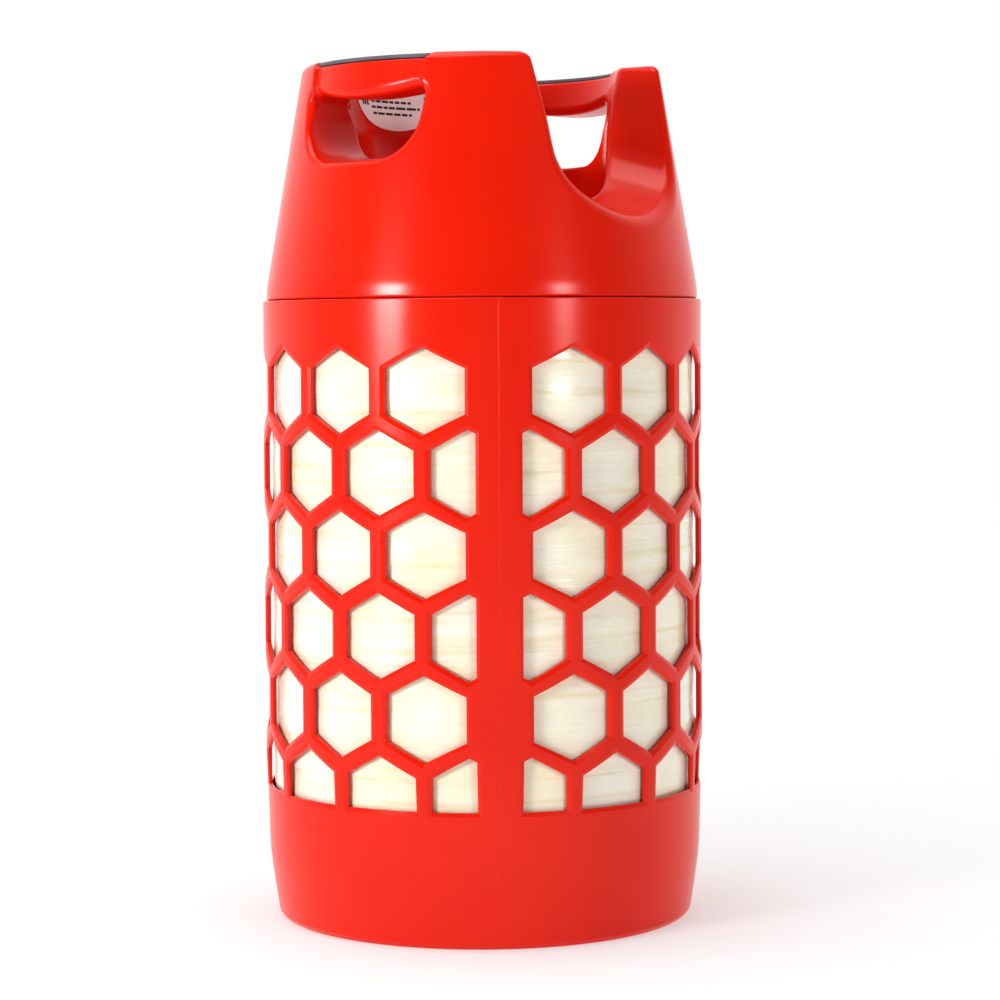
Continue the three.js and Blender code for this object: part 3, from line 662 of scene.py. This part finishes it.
def collar_field(x, y, z):
    r = np.hypot(x, y)
    u = np.abs(y)
    outer = (r - cone_radius(z)) * 0.986
    top = both(outer, z - HEIGHT, 5.5)
    bar = both(both(-(outer + 3.0), u - 49.0, 3.0), BAR_UNDER_Z - 0.5 - z, 2.0)
    d = cut(top, both(bar, 30 - np.abs(x), 1.0), 2.0)
    bowl = both((r - bowl_radius(z)) * 0.99, BOWL_FLOOR_Z - z, 6.0)
    d = cut(d, bowl, 3.0)
    seat = both(BAR_TOP_Z - z, (u - 50 - GRIP_SLOPE * (z - BAR_TOP_Z)) / GRIP_SCALE, 1.5)
    d = cut(d, both(seat, 40 - np.abs(x), 1.0), 1.2)
    outward = np.clip((r - 93) / 25, 0, 1)
    saddle = np.clip((545 - z) / 40, 0, 1)
    d = cut(d, notch_field(x, y, z), 3.0 + outward * (2.5 + 3.5 * saddle))
    near_bar = np.clip((z - 545) / 12, 0, 1) * (u < 60)
    d = cut(d, hand_hole_field(x, y, z), (1.6 + 2.8 * outward) * (1 - near_bar) + 7.0 * near_bar)
    foot = both(r - cone_radius(z), SEAM_Z + 0.4 - z, 1.0)
    spigot = both(r - SPIGOT_R, 408 - z, 0.8)
    d = np.maximum(d, np.minimum(foot, spigot))
    dome = np.sqrt(np.clip(1 - (r / 148.5) ** 2, 0.003, 1))
    cavity = np.maximum(r - 142.6, (z - np.minimum(387.5 + 85 * dome, 473)) * 0.8)
    d = cut(d, cavity, 0.8)
    return cut(d, r - 22.8, 0.8)


def build_collar(material):
    theta = np.radians(np.arange(0, 360, 1.0))
    spans = ((405.3, 424, 3.0), (424.3, 430, 1.1), (431.5, 474, 4.2), (475.1, 591, 1.5))
    heights = np.concatenate([np.arange(*span) for span in spans])
    # columns of points across the bowl's floor, then across the wall, and one just outside
    in_bowl, walls = 16, np.linspace(-0.02, 1.02, 26)
    low_r, high_r = 20.3, 4.0
    th, w, z = np.meshgrid(theta, np.arange(in_bowl + len(walls) + 1), heights, indexing="ij")
    inner = bowl_radius(z)
    outer = np.where(z < 426.1, SPIGOT_R, cone_radius(z))
    share = np.concatenate([np.linspace(0, 1, in_bowl + 1)[:-1], walls, [1.0]])[w.astype(int)]
    r = np.where(w < in_bowl, low_r + (inner - 2.4 - low_r) * share, inner + (outer - inner) * share)
    r = np.where(w == in_bowl + len(walls), outer + high_r, r)
    grid = np.stack([r * np.cos(th), r * np.sin(th), z])
    verts, quads, normals = surface_of(collar_field, grid, wrap=True)
    return mesh_object("collar_shell", verts, [quads], material, normals[quads.ravel()])


# ---------- grips and label ----------
def grip_field(side):
    def field(x, y, z):
        r, u = np.hypot(x, y), np.abs(y)
        slab = both(np.abs(r - 110.3) - 10.3, np.abs(z - 585.75) - 1.45, 1.2)
        ends = (u - 49.2 - GRIP_SLOPE * (z - BAR_TOP_Z)) / GRIP_SCALE
        return both(both(slab, ends, 1.2), 60 - side * x, 1.0)
    return field


def build_grip(side, material):
    theta = np.radians((0 if side > 0 else 180) + np.arange(-37, 37.1, 1.0))
    th, r, z = np.meshgrid(theta, np.arange(98.4, 123, 1.1), np.arange(583.4, 588.4, 0.55), indexing="ij")
    verts, quads, normals = surface_of(grip_field(side), np.stack([r * np.cos(th), r * np.sin(th), z]))
    name = "grip_pad_right" if side > 0 else "grip_pad_left"
    return mesh_object(name, verts, [quads], material, normals[quads.ravel()])


def on_bowl(across, z, stand_off):
    """A point in front of the bowl's rear wall, from its distance across and its height."""
    r = bowl_radius(z) - stand_off
    a = across / 92.0
    return np.stack([r * np.sin(a), r * np.cos(a), z], -1)


def sheet_on_bowl(name, across, heights, stand_off, thickness, material):
    """A thin sheet on the bowl's wall: across and heights are matching grids of points."""
    n, m = across.shape
    front = on_bowl(across, heights, stand_off + thickness).reshape(-1, 3)
    back = on_bowl(across, heights, stand_off).reshape(-1, 3)
    face = grid_quads(n, m)
    rim = np.concatenate([np.arange(n) * m, (n - 1) * m + np.arange(1, m),
                          np.arange(n - 2, -1, -1) * m + m - 1, np.arange(m - 2, 0, -1)])
    total = n * m
    nxt = np.roll(rim, -1)
    sides = np.stack([rim, rim + total, nxt + total, nxt], -1)
    quads = np.concatenate([face, face[:, ::-1] + total, sides])
    verts = np.concatenate([front, back])
    normal = unit(quad_crosses(verts, quads))
    toward = unit(verts * (-1, -1, 0))
    corner = np.repeat(normal[:, None], 4, axis=1)
    corner[:len(face)] = toward[quads[:len(face)]]
    if (normal[:len(face)] * toward[quads[:len(face), 0]]).sum() < 0:
        quads, corner = quads[:, ::-1], corner[:, ::-1].copy()
        corner[len(face):] *= -1
    return mesh_object(name, verts, [quads], material, corner.reshape(-1, 3))


def build_label(paper, ink):
    """The data label on the bowl's rear wall, cut to an oval below, with plain bars for its lines of text."""
    half, drop, middle, top, centre = 46.0, 26.0, 575.0, 582.5, 8.0
    s = np.linspace(-1, 1, 49)
    width = half * np.sin(s * math.pi / 2)
    low = middle - drop * np.sqrt(np.maximum(1 - (width / half) ** 2, 0.0))
    low = np.minimum(low, 574.0)
    t = np.linspace(0, 1, 15)
    heights = low[:, None] + (top - low)[:, None] * t[None]
    sheet_on_bowl("label_sheet", np.repeat(width[:, None] + centre, 15, 1), heights, 0.3, 0.35, paper)
    bars = [(-29, -26.6, 571, 9), (-25.6, -23.2, 571, 9), (-22.2, -19.8, 571, 9),
            (36, 38.8, 571, 7), (39.8, 42.4, 571, 7), (43.4, 46, 571, 7)]
    for row, (z, left, right) in enumerate(((578.3, -16, 24), (574, -16, 20), (569.8, -16, 26),
                                            (565.5, -16, 33), (561, -15, 26))):
        cuts = [left]
        length = 6.0
        while cuts[-1] < right - 3:
            cuts.append(min(right, cuts[-1] + length))
            length = 5.0 + (length * 1.7 + row) % 5.2
        bars += [(a, b - 1.3, z, 1.7) for a, b in zip(cuts[:-1], cuts[1:])]
    pieces = []
    for a, b, z, tall in bars:
        grid_s = np.repeat(np.linspace(a, b, 4)[:, None], 8, 1)
        grid_z = np.repeat(np.linspace(z - tall / 2, z + tall / 2, 8)[None], 4, 0)
        pieces.append(sheet_on_bowl("bar", grid_s, grid_z, 0.63, 0.06, ink))
    return joined(pieces, "label_print")


def joined(pieces, name):
    """Several objects made into one."""
    with bpy.context.temp_override(active_object=pieces[0], selected_editable_objects=pieces,
                                   selected_objects=pieces, object=pieces[0]):
        bpy.ops.object.join()
    pieces[0].name = name
    pieces[0].data.name = name
    return pieces[0]


# ---------- wound vessel ----------
def build_vessel(material):
    """The fibre-wound vessel: two domes and a wall, with the slight waves of hoop winding."""
    columns = 256
    arcs = [(VESSEL_R * math.cos(a), 96 + 80 * math.sin(a)) for a in np.linspace(-math.pi / 2, 0, 42)]
    arcs[0] = (0.0, 16.0)
    wall = [(VESSEL_R, z) for z in np.linspace(96, 385, 118)[1:-1]]
    upper_end = math.acos(VESSEL_NECK_R / VESSEL_R)
    upper = [(VESSEL_R * math.cos(a), 385 + 85 * math.sin(a)) for a in np.linspace(0, upper_end, 44)]
    outer = np.array(arcs + wall + upper)
    neck = (VESSEL_NECK_R, upper[-1][1] - 6)
    inner = np.array([neck, (60, 460), (138, 400), (139, 90), (100, 45), (0, 24)])
    a = np.linspace(0, 2 * np.pi, columns, endpoint=False)
    slope = unit(np.gradient(outer, axis=0))
    normal = np.stack([slope[:, 1], -slope[:, 0]], 1)
    wave = (0.16 * np.sin(outer[None, :, 1] / 3.9 + a[:, None] + 1.3 * np.sin(outer[None, :, 1] / 37))
            + 0.12 * np.sin(outer[None, :, 1] / 9.7 - 2 * a[:, None])
            + 0.16 * np.sin(3 * a[:, None] + outer[None, :, 1] / 61) * np.sin(5 * a[:, None] + 1.0)) - 0.35
    wave *= np.clip((outer[None, :, 0] - 23) / 20, 0, 1)
    r = outer[None, :, 0] + normal[None, :, 0] * wave
    z = outer[None, :, 1] + normal[None, :, 1] * wave
    r = np.concatenate([r, np.repeat(inner[None, :, 0], columns, 0)], 1)
    z = np.concatenate([z, np.repeat(inner[None, :, 1], columns, 0)], 1)
    verts = np.stack([r * np.cos(a)[:, None], r * np.sin(a)[:, None], z], -1).reshape(-1, 3)
    verts, (quads,) = weld(verts, [grid_quads(columns, r.shape[1], closed=True)])
    return mesh_object("wound_vessel", verts, without_pinches(quads), material)


# ---------- valve ----------
def hexagon(x, y, flats, turn=0.0):
    d = -np.inf
    for k in range(3):
        a = turn + k * math.pi / 3
        d = np.maximum(d, np.abs(x * math.cos(a) + y * math.sin(a)) - flats / 2)
    return d


def slab(value, low, high):
    return np.maximum(low - value, value - high)


def valve_field(x, y, z):
    r = np.hypot(x, y)
    body = both(r - 17, slab(z, 486, 524), 1.4)
    flange = both(both(hexagon(x, y, 34, math.pi / 6), r - 18.9, 0.8), slab(z, 482.5, 488), 0.8)
    inlet = both(r - 12.9, slab(z, 456, 486), 0.8)
    out_r = np.hypot(x, z - OUTLET_Z)
    thread = 0.45 * (np.abs(((-y) / 2.2) % 1 - 0.5) * 2) * (y < -24) * (y > -43.2)
    outlet = both(out_r - 10.9 + thread, slab(-y, 0, 44), 0.8)
    boss = both(out_r - 12.6, slab(-y, 0, 21.5), 1.5)
    rel_r = np.hypot(x, z - RELIEF_Z)
    relief = both(rel_r - 8.5, slab(y, 0, 34), 0.8)
    d = body
    for part, fillet in ((outlet, 1.5), (boss, 3.0), (relief, 2.5), (flange, 1.2)):
        d = either(d, part, fillet)
    d = both(np.minimum(d, inlet), z - 524, 1.0)
    return bored(d, (r - 10.3, 519.6 - z, 0.5, 0.6), (r - 8, 503.5 - z, 0.3, 0.4),
                 (r - 4, slab(z, 440, 510), 0.3, 0.3), (out_r - 4, slab(-y, 2, 60), 0.3, 0.6),
                 (out_r - 7.6, slab(-y, 41.5, 60), 0.3, 0.5), (rel_r - 5.8, slab(y, 10, 60), 0.3, 0.4))


def wheel_field(x, y, z):
    r, a = np.hypot(x, y), np.arctan2(y, x)
    rim = (r - (24.9 + 1.7 * np.cos(8 * a))) * 0.9
    d = both(rim, slab(z, WHEEL_Z, 553), 2.2)
    grooves = 0.35 * np.clip(1 - np.abs((z - 545.5) / 5.5), 0, 1)
    d = d + grooves * np.clip((r - 22) / 3, 0, 1)
    dish = both(r - 17.5, 550.6 - z, 1.6)
    d = cut(d, both(dish, 10.5 - r, 1.4), 1.0)
    d = cut(d, both(r - 9, 552.4 - z, 0.3), 0.4)
    under = both(both(r - 20.5, 7.4 - r, 0.8), z - 546, 0.8)
    d = cut(d, under, 0.7)
    for turn in (math.pi / 4 + k * math.pi / 2 for k in range(4)):
        spot = np.hypot(x - 14.2 * math.cos(turn), y - 14.2 * math.sin(turn)) - 2.2
        d = cut(d, both(spot, 549.4 - z, 0.5), 0.6)
    square = both(np.abs(x) - 3.15, np.abs(y) - 3.15, 0.2)
    return bored(d, (r - 4.4, z - 546.3, 0.2, 0.3), (square, 543 - z, 0.2, 0.3))


def nut_field(x, y, z):
    r = np.hypot(x, y)
    head = both(both(hexagon(x, y, 22), r + (z - 531.2) * 0.9 - 12.1, 0.4), slab(z, 524.3, 532), 0.5)
    d = np.minimum(head, both(r - 10, slab(z, 520, 527), 0.4))
    d = cut(d, r - 4.4, 0.4)
    return cut(d, both(r - 7.3, slab(z, 522, 525.4), 0.2), 0.2)


def screw_field(x, y, z):
    r = np.hypot(x, y)
    head = both(np.hypot(r, np.maximum(z - 548.5, 0)) - 7.2, slab(z, 552.8, 555.5), 0.4)
    head = both(head, r - 6, 0.5)
    d = np.minimum(head, both(r - 1.9, slab(z, 542, 554), 0.3))
    return cut(d, both(np.abs(y) - 0.75, 554.2 - z, 0.2), 0.25)


def outlet_cap_field(x, y, z):
    r, a = np.hypot(x, z - OUTLET_Z), np.arctan2(z - OUTLET_Z, x)
    ribs = 0.6 * np.cos(24 * a) * np.clip((46.5 + y) / 1.5, 0, 1) * 0.5
    d = both(r - 14.2 - ribs, slab(-y, 27.6, 49), 1.3)
    d = cut(d, both(r - 11.3, -y - 46.2, 0.6), 0.5)
    return cut(d, both(both(r - 9.5, 7.6 - r, 0.3), 48.4 + y, 0.3), 0.4)


def relief_cap_field(x, y, z):
    r = np.hypot(x, z - RELIEF_Z)
    d = both(both(r - 10.3, y - 37, 1.4), 29 - y, 0.4)
    d = cut(d, both(r - 8.9, y - 34.6, 0.5), 0.4)
    return cut(d, both(both(r - 7.2, 5.8 - r, 0.3), 36.5 - y, 0.3), 0.3)


def build_valve(brass, black, steel, cap):
    """The valve's outer pieces. The steps are the spacing of the grids that they are made from."""
    grown_pieces = (
        ("valve_casting", valve_field, (-20, -44, 456), (20, 34, 524), 0.9, brass,
         "cylinder", "valve_body", "brass"),
        ("gland_nut_hex", nut_field, (-13, -13, 520), (13, 13, 532), 0.5, brass,
         "cylinder", "gland_nut", "brass"),
        ("wheel_knob", wheel_field, (-27, -27, 538), (27, 27, 553), 0.62, black,
         "handwheel", "handwheel", "handwheel_black"),
        ("wheel_screw", screw_field, (-6, -6, 542), (6, 6, 555.4), 0.36, steel,
         "handwheel", "handwheel_screw", "steel"),
        ("outlet_plug_cap", outlet_cap_field, (-15, -49, 497), (15, -27, 527), 0.6, cap,
         "outlet_cap", "outlet_cap", "cap_black"),
        ("relief_cover", relief_cap_field, (-10.4, 29, 484.6), (10.4, 37, 505.4), 0.5, cap,
         "relief_dust_cap", "relief_dust_cap", "cap_black"))
    pieces = [(solid_piece(*row[:6]), *row[6:]) for row in grown_pieces]
    ring = [(13.2, 454), (38, 454), (38, 459.5), (22, 459.5), (22, 482), (16.6, 482), (16.6, 479.4),
            (13.2, 479.4), (13.2, 454)]
    ring_piece = lathe_piece("neck_ring", ring, [0, 0.6, 0.6, 0.8, 0.9, 0.5, 0.3, 0.4, 0], brass)
    pieces.append((ring_piece, "cylinder", "neck_boss", "brass"))
    for piece, body, node, slot in pieces:
        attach(piece, body)
        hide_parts(node)


def build_relief_coil(look):
    """The relief valve's spring, built as a fixed coil; the real spring shortens as the poppet lifts, and its
    end by the adjuster stays put.
    """
    start, end, lift = 16.0, 27.2, 1.8
    wire, coil, turns = 0.55, 3.6, 4.5
    steps, sides = 180, 12
    turned_by = 2 * np.pi * turns * np.linspace(0, 1, steps + 1)
    rise = (end - start - 2 * wire) / (2 * np.pi * turns)
    c, s, zero = np.cos(turned_by), np.sin(turned_by), np.zeros(steps + 1)
    centre = np.stack([coil * c, start + wire + rise * turned_by, RELIEF_Z + coil * s], 1)
    outward = np.stack([c, zero, s], 1)
    along = np.stack([-coil * s, zero + rise, coil * c], 1) / math.hypot(coil, rise)
    across = np.cross(along, outward)
    around = np.linspace(0, 2 * np.pi, sides, endpoint=False)
    round_wire = np.cos(around)[:, None] * outward[:, None] + np.sin(around)[:, None] * across[:, None]
    tube = centre[:, None] + wire * round_wire
    verts = np.concatenate([tube.reshape(-1, 3), centre[[0, -1]]])
    i, j = np.meshgrid(np.arange(steps), np.arange(sides), indexing="ij")
    i, j, following = i.ravel() * sides, j.ravel(), (j.ravel() + 1) % sides
    wall = np.stack([i + j, i + following, i + sides + following, i + sides + j], 1)
    k, after, last = np.arange(sides), (np.arange(sides) + 1) % sides, steps * sides
    ends = [np.stack([np.full(sides, last + sides), after, k], 1),
            np.stack([np.full(sides, last + sides + 1), last + k, last + after], 1)]
    spring = mesh_object("relief_coil", verts, [wall, *ends], look)
    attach(spring, "cylinder")
    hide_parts("relief_spring")
    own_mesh(spring)


# ---------- materials ----------
def srgb(r, g, b):
    out = []
    for v in (r, g, b):
        v /= 255
        out.append(v / 12.92 if v <= 0.04045 else ((v + 0.055) / 1.055) ** 2.4)
    return tuple(out)


class Nodes:
    """Short ways to add shader nodes to one tree."""

    def __init__(self, tree):
        self.tree = tree

    def add(self, kind, inputs=(), **settings):
        node = self.tree.nodes.new(kind)
        for key, value in settings.items():
            setattr(node, key, value)
        for key, value in dict(inputs).items():
            if isinstance(value, bpy.types.NodeSocket):
                self.tree.links.new(value, node.inputs[key])
            else:
                node.inputs[key].default_value = value
        return node

    def link(self, a, b):
        self.tree.links.new(a, b)

    def stretched(self, source, scale):
        return self.add("ShaderNodeMapping", {"Vector": source, "Scale": scale}).outputs["Vector"]

    def noise(self, source, scale, detail=4.0, rough=0.55, distortion=0.0):
        return self.add("ShaderNodeTexNoise", {"Vector": source, "Scale": scale, "Detail": detail,
                                               "Roughness": rough, "Distortion": distortion}).outputs["Fac"]

    def ramp(self, source, stops):
        node = self.add("ShaderNodeValToRGB", {"Fac": source})
        elements = node.color_ramp.elements
        while len(elements) < len(stops):
            elements.new(0.5)
        for element, (at, colour) in zip(elements, stops):
            element.position = at
            element.color = (*colour, 1)
        return node.outputs["Color"]

    def multiplied(self, a, b, share):
        mix = self.add("ShaderNodeMix", {0: share, 6: a, 7: b}, data_type="RGBA", blend_type="MULTIPLY")
        return mix.outputs[2]

    def span(self, source, low, high, out_low, out_high):
        return self.add("ShaderNodeMapRange", {"Value": source, "From Min": low, "From Max": high,
                                               "To Min": out_low, "To Max": out_high}).outputs["Result"]

    def math(self, operation, *values):
        return self.add("ShaderNodeMath", enumerate(values), operation=operation).outputs[0]

    def bump(self, height, strength, distance, normal=None):
        inputs = {"Height": height, "Strength": strength, "Distance": distance}
        if normal is not None:
            inputs["Normal"] = normal
        return self.add("ShaderNodeBump", inputs).outputs["Normal"]


class Look(Nodes):
    """A material: its nodes, its shader's sockets and its object coordinates."""

    def __init__(self, name, colour, roughness, metallic=0.0):
        self.material = bpy.data.materials.new(name)
        self.material.use_nodes = True
        super().__init__(self.material.node_tree)
        self.sockets = self.tree.nodes["Principled BSDF"].inputs
        self.fix("Base Color", (*colour, 1))
        self.fix("Roughness", roughness)
        self.fix("Metallic", metallic)
        self.place = self.add("ShaderNodeTexCoord").outputs["Object"]

    def fix(self, socket, value):
        self.sockets[socket].default_value = value

    def feed(self, socket, source):
        self.link(source, self.sockets[socket])


def casing_plastic():
    """Glossy moulded polypropylene with faint flow marks and a fine grain."""
    n = Look("casing_plastic", srgb(232, 41, 5), 0.3)
    flow = n.noise(n.stretched(n.place, (18, 18, 4.5)), 1.0, 2, 0.5)
    grain = n.noise(n.place, 900, 2, 0.5)
    cloud = n.noise(n.place, 9, 3, 0.5)
    n.feed("Base Color", n.ramp(cloud, [(0.3, srgb(229, 37, 4)), (0.7, srgb(235, 44, 6))]))
    n.feed("Roughness", n.span(flow, 0.1, 0.9, 0.17, 0.28))
    soft = n.bump(flow, 0.05, 0.001)
    n.feed("Normal", n.bump(grain, 0.05, 0.0002, soft))
    n.fix("Specular IOR Level", 0.45)
    return n.material


def wound_fibre():
    """Resin-bonded glass winding: level strands, pale where the resin is thin, yellow where it is thick."""
    n = Look("wound_fibre", srgb(250, 246, 226), 0.24)
    x, y, z = n.add("ShaderNodeSeparateXYZ", {"Vector": n.place}).outputs
    angle = n.math("ARCTAN2", y, x)
    on_wall = [n.math("MULTIPLY", n.math(side, angle), VESSEL_R * MM) for side in ("COSINE", "SINE")]
    wound = n.add("ShaderNodeCombineXYZ", enumerate([*on_wall, z])).outputs[0]
    tows = n.noise(n.stretched(wound, (7, 7, 150)), 1.0, 4, 0.6, 0.25)
    strands = n.noise(n.stretched(wound, (5, 5, 1400)), 1.0, 3, 0.6, 0.1)
    resin = n.noise(n.stretched(wound, (14, 14, 22)), 1.0, 4, 0.55, 0.4)
    wrinkle = n.noise(n.stretched(wound, (34, 34, 60)), 1.0, 5, 0.6, 1.2)
    base = n.ramp(resin, [(0.30, srgb(254, 252, 244)), (0.55, srgb(252, 248, 230)),
                          (0.78, srgb(246, 239, 208))])
    streak = n.ramp(tows, [(0.34, srgb(238, 230, 200)), (0.46, srgb(255, 255, 252))])
    fine = n.ramp(strands, [(0.3, srgb(246, 243, 230)), (0.6, srgb(255, 255, 254))])
    n.feed("Base Color", n.multiplied(n.multiplied(base, streak, 0.55), fine, 0.5))
    n.feed("Roughness", n.span(wrinkle, 0.3, 0.7, 0.16, 0.34))
    soft = n.bump(wrinkle, 0.35, 0.0012)
    ridge = n.bump(tows, 0.5, 0.0010, soft)
    n.feed("Normal", n.bump(strands, 0.3, 0.0002, ridge))
    n.fix("Coat Weight", 0.4)
    n.fix("Coat Roughness", 0.12)
    return n.material


def soft_touch():
    """Dark grey moulded rubber with a fine pebble grain."""
    n = Look("grip_rubber", srgb(112, 108, 116), 0.6)
    grain = n.add("ShaderNodeTexVoronoi", {"Vector": n.place, "Scale": 900.0}).outputs["Distance"]
    cloud = n.noise(n.place, 40, 4)
    n.feed("Base Color", n.ramp(cloud, [(0.35, srgb(106, 102, 110)), (0.65, srgb(120, 116, 124))]))
    n.feed("Roughness", n.span(cloud, 0.3, 0.7, 0.55, 0.7))
    n.feed("Normal", n.bump(grain, 0.35, 0.0003))
    return n.material


def metal(name, colour, dark, roughness):
    """Turned metal: fine rings of tool marks and darker patches."""
    n = Look(name, colour, roughness, 1.0)
    marks = n.noise(n.stretched(n.place, (60, 60, 2600)), 1.0, 3)
    patches = n.noise(n.place, 55, 5, 0.6)
    n.feed("Base Color", n.ramp(patches, [(0.32, dark), (0.6, colour)]))
    n.feed("Roughness", n.span(marks, 0.3, 0.7, roughness * 0.75, roughness * 1.35))
    n.feed("Normal", n.bump(marks, 0.12, 0.0001))
    return n.material


def plain(name, colour, roughness, scale, strength=0.15):
    """Matt moulded or printed stuff with a fine grain of the given scale."""
    n = Look(name, colour, roughness)
    grain = n.noise(n.place, scale, 4, 0.6)
    lighter = tuple(min(1, c * 1.12 + 0.004) for c in colour)
    n.feed("Base Color", n.ramp(n.noise(n.place, scale / 14, 3), [(0.35, colour), (0.65, lighter)]))
    n.feed("Roughness", n.span(grain, 0.3, 0.7, roughness * 0.88, min(1, roughness * 1.12)))
    n.feed("Normal", n.bump(grain, strength, 0.0002))
    return n.material


def sweep_white():
    """White studio paper, lit from behind so that it runs into the white backdrop away from the object."""
    n = Look("studio_floor", (0.5, 0.5, 0.5), 0.8)
    away = n.add("ShaderNodeVectorMath", {0: n.place}, operation="LENGTH").outputs["Value"]
    shade = n.ramp(n.span(away, 0.15, 1.0, 0, 1), [(0.0, (0.5,) * 3), (1.0, (0.04,) * 3)])
    n.feed("Base Color", shade)
    n.feed("Emission Strength", n.span(away, 0.15, 1.0, 0.5, 1.0))
    n.fix("Emission Color", (1, 1, 1, 1))
    n.fix("Specular IOR Level", 0.0)
    n.feed("Normal", n.bump(n.noise(n.place, 30), 0.02, 0.0002))
    return n.material


# ---------- assembly ----------
red = casing_plastic()
fibre = wound_fibre()
rubber_grey = soft_touch()
brass = metal("brass", srgb(205, 168, 92), srgb(176, 136, 70), 0.28)
steel = metal("steel", srgb(196, 198, 202), srgb(160, 162, 166), 0.30)
black = plain("wheel_black", srgb(34, 35, 38), 0.46, 700)
cap_plastic = plain("cap_black", srgb(36, 37, 41), 0.5, 600)
rubber = plain("black_rubber", srgb(24, 24, 25), 0.7, 900)
liner = plain("liner_plastic", srgb(222, 226, 222), 0.5, 300)
paper = plain("label_paper", srgb(250, 250, 252), 0.5, 800, 0.06)
ink = plain("label_ink", srgb(52, 50, 58), 0.6, 900, 0.04)

for piece, nodes, slot in (
        (build_casing(red), ["honeycomb_casing"], "casing_red"),
        (build_collar(red), ["handle_collar"], "casing_red"),
        (build_grip(-1, rubber_grey), ["left_handle_grip"], "grip_grey"),
        (build_grip(1, rubber_grey), ["right_handle_grip"], "grip_grey"),
        (build_vessel(fibre), ["fibre_overwrap"], "wound_fibre")):
    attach(piece, "cylinder")
    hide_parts(*nodes)
label_print = build_label(paper, ink)
label_sheet = bpy.data.objects["label_sheet"]
for piece in (label_sheet, label_print):
    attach(piece, "cylinder")
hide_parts("data_label")
build_valve(brass, black, steel, cap_plastic)
build_relief_coil(steel)

kept_nodes = {
    "inner_liner": liner, "boss_seal": rubber, "inlet_o_ring": rubber, "seat_plug": brass,
    "seat_disc": rubber, "spindle": brass, "spindle_o_ring": rubber, "outlet_gasket": rubber,
    "relief_poppet": brass, "relief_seal": rubber, "relief_adjuster": brass,
}
for node, look in kept_nodes.items():
    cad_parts[node].data.materials.clear()
    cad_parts[node].data.materials.append(look)

# ---------- floor, light, camera ----------
SPOKES, RINGS, FLOOR_Z = 96, 12, -0.4
spokes = np.linspace(0, 2 * np.pi, SPOKES, endpoint=False)
rings = np.array([(180.0 * 1.35 ** k, FLOOR_Z) for k in range(RINGS)])
disc, disc_quads, _ = lathe_patch(rings, np.tile([0, 1.0], (RINGS, 1)), spokes)
spoke = np.arange(SPOKES)
fan = np.stack([np.full(SPOKES, SPOKES * RINGS), (spoke + 1) % SPOKES * RINGS, spoke * RINGS], 1)
disc = np.concatenate([disc, [[0, 0, FLOOR_Z]]])
floor = mesh_object("studio_floor", disc, [disc_quads, fan], sweep_white())

world = bpy.data.worlds.new("studio")
bpy.context.scene.world = world
world.use_nodes = True
VIEW = math.radians(-49.0)
toward = Vector((math.sin(VIEW), -math.cos(VIEW), 0))
side = Vector((math.cos(VIEW), math.sin(VIEW), 0))

# a white room behind the object and a dimmer one in front of it; the backdrop itself is plain white
n = Nodes(world.node_tree)
ray = n.add("ShaderNodeTexCoord").outputs["Generated"]
front = n.add("ShaderNodeVectorMath", {0: ray, 1: toward}, operation="DOT_PRODUCT").outputs["Value"]
room = n.span(front, -0.55, 0.35, 1.15, 0.16)
backdrop = n.add("ShaderNodeLightPath").outputs["Is Camera Ray"]
background = world.node_tree.nodes["Background"]
background.inputs["Color"].default_value = (1, 1, 1, 1)
n.link(n.add("ShaderNodeMix", {0: backdrop, 2: room, 3: 1.0}).outputs[0], background.inputs["Strength"])


def softbox(name, right, out, up, width, height, power):
    """An area light placed from the camera's side: right, towards it and up, in metres, facing the object."""
    light = bpy.data.lights.new(name, "AREA")
    light.shape = "RECTANGLE"
    light.size, light.size_y, light.energy = width, height, power
    ob = bpy.data.objects.new(name, light)
    bpy.context.scene.collection.objects.link(ob)
    ob.location = side * right + toward * out + Vector((0, 0, up))
    aim = Vector((0, 0, 0.3)) - ob.location
    ob.rotation_euler = aim.to_track_quat("-Z", "Y").to_euler()


softbox("key_left", -1.5, 1.4, 0.64, 0.5, 0.4, 22)
softbox("fill_right", 1.32, 1.5, 0.64, 0.3, 0.4, 8)
softbox("top", -0.4, 0.3, 1.9, 1.2, 1.2, 14)

DISTANCE, CAMERA_Z = 1.9872, 0.400
FOCAL_PX = 2841.0
AXIS_PX, HORIZON_PX = 482.5, 337.6
SHIFT_Y = -0.085
camera_data = bpy.data.cameras.new("camera")
camera_data.sensor_width = 36
camera_data.lens = FOCAL_PX * 36 / 1000
camera_data.shift_x = (500 - AXIS_PX) / 1000
camera_data.shift_y = SHIFT_Y
camera_data.clip_start, camera_data.clip_end = 0.05, 50
pitch = math.atan((500 + SHIFT_Y * 1000 - HORIZON_PX) / FOCAL_PX)
camera = bpy.data.objects.new("camera", camera_data)
bpy.context.scene.collection.objects.link(camera)
camera.location = toward * DISTANCE + Vector((0, 0, CAMERA_Z))
looking = Matrix.Rotation(VIEW, 4, "Z") @ Matrix.Rotation(math.pi / 2 - pitch, 4, "X")
camera.rotation_euler = (looking @ Matrix.Rotation(math.radians(-0.33), 4, "Z")).to_euler()
bpy.context.scene.camera = camera
bpy.context.scene.view_settings.view_transform = "Standard"
bpy.context.scene.view_settings.gamma = 0.8
